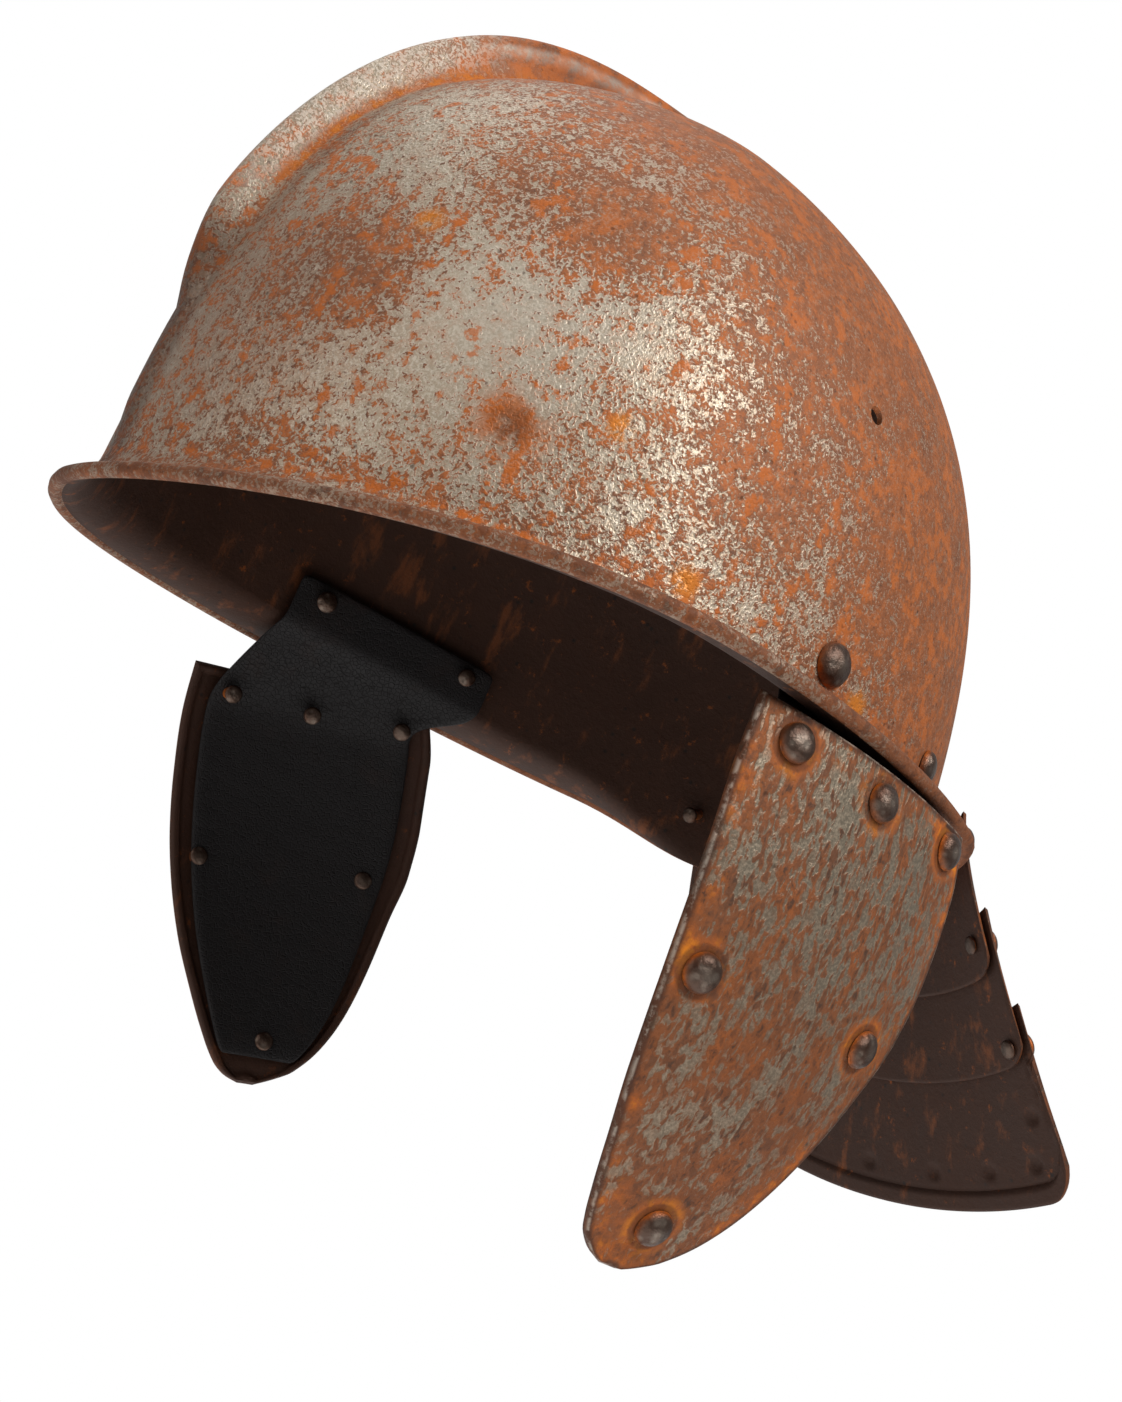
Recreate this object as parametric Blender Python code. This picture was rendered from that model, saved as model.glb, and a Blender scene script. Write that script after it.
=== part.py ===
"""A lobster-tail pot helmet: a raised bowl with a hollow comb and a flared brim, two cheek plates
hung on leather, and a neck guard of three overlapping lames that turn on rivets.

Metres, +Z up, front towards -Y, the wearer's left towards +X. The origin is the inside of the
crown, where a head carries the helmet."""

import math

import bmesh
import bpy
import numpy as np
from mathutils import Matrix, Vector
from mathutils.bvhtree import BVHTree

# Bowl
BOWL_HALF_WIDTH = 0.1045
BOWL_FRONT = 0.0995
BOWL_REAR = 0.1435
BOWL_HEIGHT = 0.1525
PLATE = 0.0014
FRONT_PLAN_POWER = 1.77
REAR_PLAN_POWER = 2.0
SIDE_PROFILE_POWER = 2.48
FRONT_PROFILE_POWER = 2.64
REAR_PROFILE_POWER = 2.39
BOWL_ROWS = 25
# Angles in degrees, out from the comb, of the columns that make up each side
BOWL_COLUMN_ANGLES = (12, 22, 33, 44, 55, 66, 78)

# Brim: how far it reaches out of the crease, how far it drops, and how the rim arches at the sides
BRIM_FRONT_REACH = 0.0085
BRIM_SIDE_REACH = 0.0185
BRIM_TAIL_REACH = 0.0010
BRIM_FRONT_DROP = 0.0115
BRIM_SIDE_DROP = 0.0065
BRIM_TAIL_DROP = 0.0040
RIM_ARCH = 0.0078
ROLL_RADIUS = 0.0019
TAIL_ROLL_RADIUS = 0.0009
SKIRT_DROP = 0.0080
TAIL_START_BEARING = math.radians(138)
TAIL_FULL_BEARING = math.radians(160)

# Comb: rows run from the brow over the top, columns are the angle in degrees and the height as a
# share of COMB_HEIGHT
COMB_HEIGHT = 0.0175
COMB_HALF_WIDTH = 0.0058
KEEL_HEIGHT = 0.0014
COMB_RUN = (
    (19, 0.00), (26, 0.32), (34, 0.54), (50, 0.60), (62, 0.70), (72, 0.84),
    (84, 0.96), (94, 1.00), (106, 0.80), (118, 0.40), (134, 0.00),
)
# Columns are the distance from the ridge as a share of COMB_HALF_WIDTH, and the share of height
COMB_SECTION = ((0.0, 1.0), (0.45, 0.95), (0.72, 0.66), (0.95, 0.24), (1.4, 0.04), (2.0, 0.0), (9.0, 0.0))

# Cheek plates. Rows run down the plate, columns are the way down as a share of CHEEK_HEIGHT, and
# the front and rear edge as shares of CHEEK_WIDTH
CHEEK_HEIGHT = 0.1215
CHEEK_WIDTH = 0.0800
CHEEK_FRONT = 0.0170
CHEEK_GAP = 0.0035
CHEEK_INSET = 0.0070
CHEEK_CREST = 0.0350
CHEEK_FALL = 0.0154
CHEEK_LEAN = 0.0230
CHEEK_BOW = 0.0070
CHEEK_PLATE = 0.0014
CHEEK_TURN = 0.0014
CHEEK_TURN_WIDTH = 0.0028
CHEEK_EDGES = (
    (0.00, 0.010, 0.955), (0.13, 0.000, 0.995), (0.29, 0.012, 1.000), (0.42, 0.030, 0.980),
    (0.54, 0.058, 0.925), (0.68, 0.107, 0.855), (0.80, 0.168, 0.775), (0.89, 0.220, 0.685),
    (0.955, 0.268, 0.580), (0.985, 0.315, 0.490), (1.00, 0.370, 0.430),
)
CHEEK_COLUMNS = (0, 0.02, 0.04, 0.08, 0.22, 0.40, 0.58, 0.76, 0.92, 0.96, 0.98, 1)
CHEEK_ROWS = (0, 0.011, 0.023, 0.042, 0.15, 0.27, 0.40, 0.53, 0.66, 0.78, 0.88, 0.945, 0.972, 0.988, 1)
# Columns are the way down and the way back from CHEEK_FRONT, as shares of height and width
CHEEK_RIVETS = ((0.060, 0.150), (0.066, 0.500), (0.054, 0.865), (0.486, 0.146), (0.463, 0.811), (0.905, 0.455))
# The first rivets hold the leather where it bends, so their shanks are longer
UPPER_CHEEK_RIVETS = 3
# The right plate hangs forward of the left one, a little lower and with its tip swung back
RIGHT_CHEEK_FORWARD = 0.0440
RIGHT_CHEEK_DROP = 0.0032
RIGHT_CHEEK_SWING = math.radians(14)

# Leather under each cheek plate, carried up to two rivets in the bowl
LEATHER = 0.0020
LEATHER_GAP = 0.0009
LEATHER_FIRST_ROW = 3
LEATHER_LAST_ROW = 12
LEATHER_EDGE_COLUMN = 3
LEATHER_TAB_TOP = 0.0140
LEATHER_TAB_FRONT = 0.0330
LEATHER_TAB_REAR = 0.1030
# Rows of the hanger above and below the crease, as shares of LEATHER_TAB_TOP, and the shares
# between which it leaves the plate and comes to lie on the bowl
LEATHER_CLIMB = (1.0, 0.62, 0.36, 0.16, 0.0, -0.16, -0.34)
LEATHER_BEND = (-1.4, 0.1)
# Rivets in the bowl: the distance behind the crown and the height above the crease
BOWL_RIVET_RISE = 0.0085
BOWL_RIVETS = (0.0430, 0.0955)
STUB_RIVET = (0.0660, 0.0008)

# Lining hole high on the left of the bowl, as height and distance behind the crown
LINING_HOLE = (0.0810, 0.0345)
LINING_HOLE_RADIUS = 0.0021

# Tail: a flaring surface behind the nape, cut into three lames
TAIL_TOP_HALF_WIDTH = 0.0590
TAIL_FOOT_HALF_WIDTH = 0.0915
TAIL_TOP_END = 0.1280
TAIL_FOOT_END = 0.1750
TAIL_CLEARANCE = 0.0050
TAIL_TOP_MIDDLE = BOWL_REAR + TAIL_CLEARANCE
TAIL_FOOT_MIDDLE = 0.1780
# How far the tail swells sideways between its middle and its ends, as a share of its width
TAIL_SWELL = 0.08
TAIL_TOP_HEIGHT = 0.0130
TAIL_TOP_SIDE_HEIGHT = 0.0190
TAIL_MIDDLE_DROP = 0.0970
TAIL_FLARE_POWER = 1.25
TAIL_SIDE_DROP = 0.0850
LAME_PLATE = 0.0013
LAME_STEP = 0.0024
LAME_CORNER = 0.0100
LAME_TURN = 0.0010
# Rows are the lames, columns where each starts and ends as shares of the way down the tail
LAMES = (
    ("tail_lame_upper", 0.00, 0.44),
    ("tail_lame_middle", 0.275, 0.67),
    ("tail_lame_lower", 0.53, 1.00),
)
LAME_COLUMNS = (-1, -0.985, -0.955, -0.86, -0.7, -0.5, -0.25, 0, 0.25, 0.5, 0.7, 0.86, 0.955, 0.985, 1)
LAME_ROWS = (0, 0.08, 0.35, 0.65, 0.9, 0.95, 1)
# Rows are the pivots, columns the places down and across the tail
PIVOTS = (("upper", 0.070, 0.925), ("middle", 0.335, 0.880), ("lower", 0.590, 0.860))

# Rivets
BIG_RIVET = 0.0053
MID_RIVET = 0.0045
PIVOT_RIVET = 0.0040
STUB_RADIUS = 0.0019
HEAD_RISE = 0.62
SHANK = 0.42
HEAD_GAP = 0.0005
PIVOT_GAP = 0.0007
HOLE_GAP = 0.0004
BOWL_RIVET_GRIP = PLATE + LEATHER + 0.0036
CHEEK_RIVET_GRIP = CHEEK_PLATE + LEATHER + 0.0012
UPPER_CHEEK_GRIP = CHEEK_PLATE + LEATHER + 0.0062
STUB_GRIP = PLATE + 0.0003
TAIL_HANGER_GRIP = 0.0180
HOLE_REACH = 0.0080
RIVET_SIDES = 8
BURR = 0.62

CROWN = BOWL_HEIGHT - PLATE


def clear_scene():
    for item in list(bpy.data.objects):
        bpy.data.objects.remove(item, do_unlink=True)


def material(name, colour, roughness, metallic):
    made = bpy.data.materials.new(name)
    made.use_nodes = True
    shader = made.node_tree.nodes["Principled BSDF"]
    shader.inputs["Base Color"].default_value = (*colour, 1.0)
    shader.inputs["Roughness"].default_value = roughness
    shader.inputs["Metallic"].default_value = metallic
    return made


def smooth_step(low, high, value):
    share = np.clip((value - low) / (high - low), 0.0, 1.0)
    return share * share * (3.0 - 2.0 * share)


def table_value(table, position, column=1):
    """A smooth reading of a table whose first column rises, by cubic pieces that don't overshoot."""
    keys = np.array([row[0] for row in table], float)
    values = np.array([row[column] for row in table], float)
    slopes = np.diff(values) / np.diff(keys)
    tangents = np.concatenate(([slopes[0]], np.zeros(len(keys) - 2), [slopes[-1]]))
    for k in range(1, len(keys) - 1):
        if slopes[k - 1] * slopes[k] > 0.0:
            tangents[k] = 2.0 * slopes[k - 1] * slopes[k] / (slopes[k - 1] + slopes[k])
    position = np.clip(position, keys[0], keys[-1])
    cell = np.clip(np.searchsorted(keys, position, side="right") - 1, 0, len(keys) - 2)
    width = keys[cell + 1] - keys[cell]
    t = (position - keys[cell]) / width
    return ((2 * t**3 - 3 * t**2 + 1) * values[cell] + (t**3 - 2 * t**2 + t) * width * tangents[cell]
            + (3 * t**2 - 2 * t**3) * values[cell + 1] + (t**3 - t**2) * width * tangents[cell + 1])


def add_object(name, mesh, surface, sharp_angle=40.0):
    """Makes the object, with its place measured from the inside of the crown."""
    mesh.materials.append(surface)
    mesh.shade_smooth()
    mesh.set_sharp_from_angle(angle=math.radians(sharp_angle))
    made = bpy.data.objects.new(name, mesh)
    bpy.context.scene.collection.objects.link(made)
    made.location.z = -CROWN
    return made


def mesh_from(name, points, faces):
    mesh = bpy.data.meshes.new(name)
    shape = bmesh.new()
    corners = [shape.verts.new(point) for point in points]
    for face in faces:
        distinct = list(dict.fromkeys(face))
        if len(distinct) > 2:
            shape.faces.new([corners[k] for k in distinct])
    bmesh.ops.remove_doubles(shape, verts=shape.verts, dist=1e-6)
    bmesh.ops.recalc_face_normals(shape, faces=shape.faces)
    bmesh.ops.triangulate(shape, faces=shape.faces)
    shape.to_mesh(mesh)
    shape.free()
    return mesh


# Bowl surface

def plan_radius(bearing):
    """Distance from the crown's axis to the crease, for a bearing counted from the front."""
    side = np.abs(np.sin(bearing)) / BOWL_HALF_WIDTH
    along = np.cos(bearing)
    ahead = np.clip(along, 0, 1) / BOWL_FRONT
    behind = np.clip(-along, 0, 1) / BOWL_REAR
    front = (side**FRONT_PLAN_POWER + ahead**FRONT_PLAN_POWER) ** (-1 / FRONT_PLAN_POWER)
    rear = np.maximum(side**REAR_PLAN_POWER + behind**REAR_PLAN_POWER, 1e-6) ** (-1 / REAR_PLAN_POWER)
    return np.where(along > 0, front, rear)


def tail_share(bearing):
    return smooth_step(TAIL_START_BEARING, TAIL_FULL_BEARING, np.arccos(np.clip(np.cos(bearing), -1, 1)))


def rim_height(bearing):
    return RIM_ARCH * np.sin(bearing) ** 2 - SKIRT_DROP * tail_share(bearing)


def brim_reach(bearing):
    ahead = np.clip(np.cos(bearing), 0, 1) ** 1.2
    open_reach = BRIM_SIDE_REACH + (BRIM_FRONT_REACH - BRIM_SIDE_REACH) * ahead
    return open_reach + (BRIM_TAIL_REACH - open_reach) * tail_share(bearing)


def brim_drop(bearing):
    along = np.cos(bearing)
    end = np.where(along > 0, BRIM_FRONT_DROP, BRIM_TAIL_DROP)
    return BRIM_SIDE_DROP + (end - BRIM_SIDE_DROP) * along**2


def roll_radius(bearing):
    return ROLL_RADIUS + (TAIL_ROLL_RADIUS - ROLL_RADIUS) * tail_share(bearing)


def crease_height(bearing):
    return rim_height(bearing) + brim_drop(bearing)


def bowl_point(over, aside, wall):
    """A point of the bowl. over turns from the brow over the top to the nape, aside turns out to
    the left and right of the comb, and wall is how far the surface lies inside the outer one."""
    x = np.sin(aside)
    y = -np.cos(over) * np.cos(aside)
    z = np.sin(over) * np.cos(aside)
    bearing = np.arctan2(x, -y)
    level = np.hypot(x, y)
    reach = plan_radius(bearing) - wall
    base = crease_height(bearing)
    rise = BOWL_HEIGHT - wall - base
    along = np.cos(bearing)
    end_power = np.where(along > 0, FRONT_PROFILE_POWER, REAR_PROFILE_POWER)
    power = SIDE_PROFILE_POWER + (end_power - SIDE_PROFILE_POWER) * along**2
    length = ((level / reach) ** power + (z / rise) ** power) ** (-1 / power)
    offset = np.abs(length * x) + 1.2 * wall
    section = table_value(COMB_SECTION, offset / COMB_HALF_WIDTH)
    degrees = np.degrees(over)
    height = COMB_HEIGHT * table_value(COMB_RUN, degrees)
    height = np.maximum(height, KEEL_HEIGHT * smooth_step(0, 8, degrees) * (1 - smooth_step(40, 60, degrees)))
    length = length + height * section
    return np.stack([length * x, length * y, base + length * z], -1)


def comb_columns():
    """Turning angles out from the ridge: close together on the comb, wider over the bowl."""
    near = [COMB_HALF_WIDTH * row[0] / BOWL_HEIGHT for row in COMB_SECTION[:-1]]
    half = near + [math.radians(angle) for angle in BOWL_COLUMN_ANGLES]
    return np.array([-angle for angle in reversed(half[1:])] + half)


def make_bowl(surface):
    aside = comb_columns()
    over = np.linspace(0, math.pi, BOWL_ROWS)
    over_grid, aside_grid = np.meshgrid(over, aside, indexing="ij")
    rows, columns = over_grid.shape
    points = []
    faces = []

    def add(array):
        start = len(points)
        points.extend(map(tuple, array.reshape(-1, 3)))
        return start

    outer = add(bowl_point(over_grid, aside_grid, 0.0))
    inner = add(bowl_point(over_grid, aside_grid, PLATE))
    side = np.array([-math.pi / 2, math.pi / 2])
    outer_pole = add(bowl_point(side * 0 + 1.0, side, 0.0))
    inner_pole = add(bowl_point(side * 0 + 1.0, side, PLATE))
    for start, pole in ((outer, outer_pole), (inner, inner_pole)):
        for i in range(rows - 1):
            for j in range(columns - 1):
                a = start + i * columns + j
                faces.append((a, a + 1, a + columns + 1, a + columns))
            right = start + i * columns
            left = right + columns - 1
            faces.append((pole, right, right + columns))
            faces.append((pole + 1, left, left + columns))

    # The brim is a closed band: its first row is the outer crease, its last the inner crease
    bearing = np.concatenate([aside, [math.pi / 2], math.pi - aside[::-1], [3 * math.pi / 2]])
    front = list(range(columns))
    rear = [(rows - 1) * columns + j for j in reversed(range(columns))]
    outer_crease = [outer + k for k in front] + [outer_pole + 1] + [outer + k for k in rear] + [outer_pole]
    inner_crease = [inner + k for k in front] + [inner_pole + 1] + [inner + k for k in rear] + [inner_pole]
    crease = plan_radius(bearing)
    reach = brim_reach(bearing)
    drop = brim_drop(bearing)
    roll = roll_radius(bearing)
    height = crease_height(bearing)

    def ring(radius, level):
        start = add(np.stack([radius * np.sin(bearing), -radius * np.cos(bearing), level], -1))
        return list(range(start, start + len(bearing)))

    rings = [outer_crease]
    for turn in (28, 54, 74):
        angle = math.radians(turn)
        rings.append(ring(crease + reach * (1 - math.cos(angle)), height - drop * math.sin(angle)))
    for turn in (95, 30, -35, -100, -160):
        angle = math.radians(turn)
        rings.append(ring(crease + reach - roll + roll * math.cos(angle), height - drop + roll * math.sin(angle)))
    for turn in (54, 28):
        angle = math.radians(turn)
        rings.append(ring(crease - PLATE + reach * (1 - math.cos(angle)),
                          height - (drop + PLATE) * math.sin(angle)))
    rings.append(inner_crease)
    count = len(bearing)
    for first, second in zip(rings, rings[1:]):
        for k in range(count):
            n = (k + 1) % count
            faces.append((first[k], first[n], second[n], second[k]))
    return add_object("bowl", mesh_from("bowl", points, faces), surface)


# Plates made on a grid, with their wall set along the surface

def grid_normals(outer):
    """Unit normals of a grid of points, pointing away from the helmet's middle."""
    normal = np.cross(np.gradient(outer, axis=0), np.gradient(outer, axis=1))
    normal /= np.linalg.norm(normal, axis=2, keepdims=True)
    middle = np.array([0.0, 0.02, 0.0])
    return normal if (normal * (outer - middle)).sum() > 0 else -normal


def grid_plate(name, front, back, surface):
    """A closed plate between two grids of points."""
    rows, columns = front.shape[:2]
    points = list(map(tuple, front.reshape(-1, 3))) + list(map(tuple, back.reshape(-1, 3)))
    half = rows * columns
    faces = []
    for i in range(rows - 1):
        for j in range(columns - 1):
            a = i * columns + j
            faces.append((a, a + 1, a + columns + 1, a + columns))
            faces.append((a + half, a + columns + half, a + columns + 1 + half, a + 1 + half))
    border = list(range(columns))
    border += [i * columns + columns - 1 for i in range(1, rows)]
    border += [(rows - 1) * columns + j for j in reversed(range(columns - 1))]
    border += [i * columns for i in reversed(range(1, rows - 1))]
    for a, b in zip(border, border[1:] + border[:1]):
        faces.append((a, b, b + half, a + half))
    return add_object(name, mesh_from(name, points, faces), surface)


# Cheek plates and their leather

def cheek_point(down, behind):
    """A point of the left cheek's outer face, from the way down in metres and the way behind."""
    share = np.clip(down / CHEEK_HEIGHT, 0.0, 1.0)
    rear = CHEEK_FRONT + CHEEK_WIDTH
    out = BOWL_HALF_WIDTH + BRIM_SIDE_REACH - CHEEK_INSET
    out -= CHEEK_FALL * ((behind - CHEEK_CREST) / (rear - CHEEK_CREST)) ** 2
    level = RIM_ARCH * out**2 / (out**2 + behind**2) - CHEEK_GAP - down
    out += CHEEK_BOW * math.sin(math.pi * min(share * 1.05, 1.0)) - CHEEK_LEAN * share**1.4
    return out, behind, level


def cheek_grid():
    """Points over the left plate's outer face, with close rows and columns at the turned edge."""
    grid = []
    for share in CHEEK_ROWS:
        down = share * CHEEK_HEIGHT
        front = CHEEK_FRONT + CHEEK_WIDTH * float(table_value(CHEEK_EDGES, share, 1))
        rear = CHEEK_FRONT + CHEEK_WIDTH * float(table_value(CHEEK_EDGES, share, 2))
        width = rear - front
        border = min(CHEEK_TURN_WIDTH, 0.16 * width)
        places = [front + column * width for column in CHEEK_COLUMNS]
        places[1], places[2] = front + 0.45 * border, front + border
        places[3] = max(places[3], front + 1.5 * border)
        places[-4] = min(places[-4], rear - 1.5 * border)
        places[-3], places[-2] = rear - border, rear - 0.45 * border
        grid.append([cheek_point(down, place) for place in places])
    return np.array(grid)


def hang(side, points):
    """Keeps left-hand points, or mirrors them to the right, moves them and swings the tip back."""
    points = np.asarray(points, float)
    if side > 0:
        return points
    middle = CHEEK_FRONT + CHEEK_WIDTH / 2
    behind, level = points[..., 1] - middle, points[..., 2]
    sine, cosine = math.sin(RIGHT_CHEEK_SWING), math.cos(RIGHT_CHEEK_SWING)
    swung = middle + behind * cosine - level * sine - RIGHT_CHEEK_FORWARD
    return np.stack([-points[..., 0], swung, behind * sine + level * cosine - RIGHT_CHEEK_DROP], -1)


def make_cheek(name, side, surface):
    outer = hang(side, cheek_grid())
    wall = np.full(outer.shape[:2] + (1,), CHEEK_PLATE)
    for edge in (0, 1, 2, -3, -2, -1):
        wall[edge, :] = CHEEK_PLATE + CHEEK_TURN
        wall[:, edge] = CHEEK_PLATE + CHEEK_TURN
    return grid_plate(name, outer, outer - grid_normals(outer) * wall, surface)


def make_leather(name, side, bowl_tree, surface):
    """One sheet: the panel behind the plate, and the hanger that climbs into the bowl."""
    outer = hang(side, cheek_grid())
    stand_off = np.full((len(outer), 1, 1), CHEEK_PLATE + LEATHER_GAP)
    stand_off[LEATHER_FIRST_ROW] += CHEEK_TURN
    panel = outer - grid_normals(outer) * stand_off
    edge = LEATHER_EDGE_COLUMN
    panel = panel[LEATHER_FIRST_ROW:LEATHER_LAST_ROW, edge:-edge]
    shift = 0.0 if side > 0 else RIGHT_CHEEK_FORWARD
    columns = panel.shape[1]
    climb = []
    for step in LEATHER_CLIMB:
        row = []
        for k in range(columns):
            low = panel[0, k]
            behind = LEATHER_TAB_FRONT - shift + k / (columns - 1) * (LEATHER_TAB_REAR - LEATHER_TAB_FRONT)
            crease = float(crease_height(math.atan2(wall_out(bowl_tree, side, behind, 0.02), -behind)))
            level = crease + step * LEATHER_TAB_TOP
            blend = float(smooth_step(*LEATHER_BEND, step))
            place = low[1] + (behind - low[1]) * blend
            wall_x = wall_out(bowl_tree, side, place, max(level, crease + 0.001)) - LEATHER_GAP
            out = abs(low[0]) + (wall_x - abs(low[0])) * blend
            limit = wall_out(bowl_tree, side, place, level)
            if limit:
                out = min(out, limit - 2 * LEATHER_GAP)
            row.append((side * out, place, level))
        climb.append(row)
    front = np.concatenate([np.array(climb), panel])
    return grid_plate(name, front, front - grid_normals(front) * LEATHER, surface)


def wall_out(bowl_tree, side, behind, level):
    """How far out the bowl's inner face lies, or zero where there is none."""
    hit = bowl_tree.ray_cast(Vector((side * 0.02, behind, level)), Vector((side, 0, 0)))[0]
    return abs(hit.x) if hit else 0.0


# Tail

def tail_point(across, down, lift):
    """A point of the tail surface: across runs from -1 on the right to 1, down from 0 to 1."""
    flare = np.sign(down) * np.abs(down) ** TAIL_FLARE_POWER
    half = TAIL_TOP_HALF_WIDTH + (TAIL_FOOT_HALF_WIDTH - TAIL_TOP_HALF_WIDTH) * flare
    end = TAIL_TOP_END + (TAIL_FOOT_END - TAIL_TOP_END) * flare
    middle = TAIL_TOP_MIDDLE + (TAIL_FOOT_MIDDLE - TAIL_TOP_MIDDLE) * flare
    side_level = TAIL_TOP_SIDE_HEIGHT - TAIL_SIDE_DROP * down
    middle_level = TAIL_TOP_HEIGHT - TAIL_MIDDLE_DROP * down
    bend = across**2
    x = half * across * (1 + TAIL_SWELL * (1 - bend))
    point = np.stack([x, end + (middle - end) * (1 - bend), middle_level + (side_level - middle_level) * bend], -1)
    if lift:
        step = 0.01
        ahead = tail_point(across + step, down, 0.0) - tail_point(across - step, down, 0.0)
        below = tail_point(across, down + step, 0.0) - tail_point(across, down - step, 0.0)
        normal = np.cross(ahead, below)
        point = point + lift * normal / np.linalg.norm(normal, axis=-1, keepdims=True)
    return point


def make_lame(index, surface):
    name, start, end = LAMES[index]
    across = np.array(LAME_COLUMNS)
    begin = 1 - LAME_CORNER / TAIL_FOOT_HALF_WIDTH
    curve = np.clip((np.abs(across) - begin) / (1 - begin), 0, 1)
    last = index == len(LAMES) - 1
    corner = LAME_CORNER / TAIL_SIDE_DROP * (1.0 if last else 0.5)
    foot = end - corner * (1 - np.sqrt(1 - curve**2))
    down = start + np.array(LAME_ROWS)[:, None] * (foot - start)[None, :]
    across_grid = np.broadcast_to(across, down.shape)
    outer = tail_point(across_grid, down, LAME_STEP * index + LAME_PLATE)
    wall = np.full(down.shape + (1,), LAME_PLATE)
    if last:
        turned = LAME_PLATE + LAME_TURN
        wall[-2:, :] = turned
        wall[3:, :2] = turned
        wall[3:, -2:] = turned
    return grid_plate(name, outer, outer - grid_normals(outer) * wall, surface)


# Rivets

def rivet_mesh(name, radius, length, gap, burr, rise, sides):
    """A domed head above its seat, a shank, and a hammered end. +Z points out of the plate."""
    shank = SHANK * radius
    crown = gap + rise * radius
    profile = [(0.66 * radius, gap + 0.76 * rise * radius), (radius, gap), (shank, gap), (shank, -length)]
    if burr:
        profile += [(burr * radius, -length), (0.8 * burr * radius, -length - 0.16 * radius)]
    points = []
    rings = []
    for reach, level in profile:
        rings.append(len(points))
        for k in range(sides):
            turn = 2 * math.pi * k / sides
            points.append((reach * math.cos(turn), reach * math.sin(turn), level))
    top = len(points)
    points.append((0, 0, crown))
    bottom = len(points)
    points.append((0, 0, profile[-1][1]))
    faces = []
    for k in range(sides):
        n = (k + 1) % sides
        faces.append((top, rings[0] + k, rings[0] + n))
        faces.append((bottom, rings[-1] + n, rings[-1] + k))
        for first, second in zip(rings, rings[1:]):
            faces.append((first + k, second + k, second + n, first + n))
    return mesh_from(name, points, faces)


def surface_tree(item):
    """The mesh as it stands before holes are cut, measured like the tables above."""
    corners = [vertex.co.copy() for vertex in item.data.vertices]
    faces = [tuple(face.vertices) for face in item.data.polygons]
    return BVHTree.FromPolygons(corners, faces)


def seat(tree, point, outward):
    """Where a rivet meets the outer face, and how the face stands there."""
    direction = Vector(outward).normalized()
    hit, normal, _, _ = tree.ray_cast(Vector(point) + direction * 0.05, -direction)
    if normal.dot(direction) < 0:
        normal = -normal
    return hit, normal


class Riveter:
    """Places rivets and remembers the holes that each plate needs."""

    def __init__(self, surface):
        self.surface = surface
        self.holes = {}

    def add(self, name, place, radius, length, plates, gap=HEAD_GAP, burr=BURR, rise=HEAD_RISE, sides=RIVET_SIDES):
        hit, normal = place
        turn = Vector((0, 0, 1)).rotation_difference(normal).to_matrix().to_4x4()
        frame = Matrix.Translation(hit) @ turn
        mesh = rivet_mesh(name, radius, length, gap, burr, rise, sides)
        mesh.transform(frame)
        made = add_object(name, mesh, self.surface)
        for plate in plates:
            self.remember(plate, frame, SHANK * radius + HOLE_GAP, length)
        return made

    def hole(self, plate, place, radius):
        hit, normal = place
        turn = Vector((0, 0, 1)).rotation_difference(normal).to_matrix().to_4x4()
        self.remember(plate, Matrix.Translation(hit) @ turn, radius, 0.0)

    def remember(self, plate, frame, radius, length):
        self.holes.setdefault(plate.name, (plate, []))[1].append((frame, radius, length + HOLE_REACH))

    def cut(self):
        for plate_name, (plate, holes) in self.holes.items():
            shape = bmesh.new()
            for frame, radius, reach in holes:
                bmesh.ops.create_cone(shape, cap_ends=True, segments=RIVET_SIDES, radius1=radius, radius2=radius,
                                      depth=2 * reach, matrix=frame)
            mesh = bpy.data.meshes.new("holes_" + plate_name)
            shape.to_mesh(mesh)
            shape.free()
            cutter = bpy.data.objects.new("holes_" + plate_name, mesh)
            bpy.context.scene.collection.objects.link(cutter)
            cutter.location.z = -CROWN
            cutter.hide_render = True
            cutter.display_type = "WIRE"
            modifier = plate.modifiers.new("holes", "BOOLEAN")
            modifier.operation = "DIFFERENCE"
            modifier.object = cutter


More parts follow.
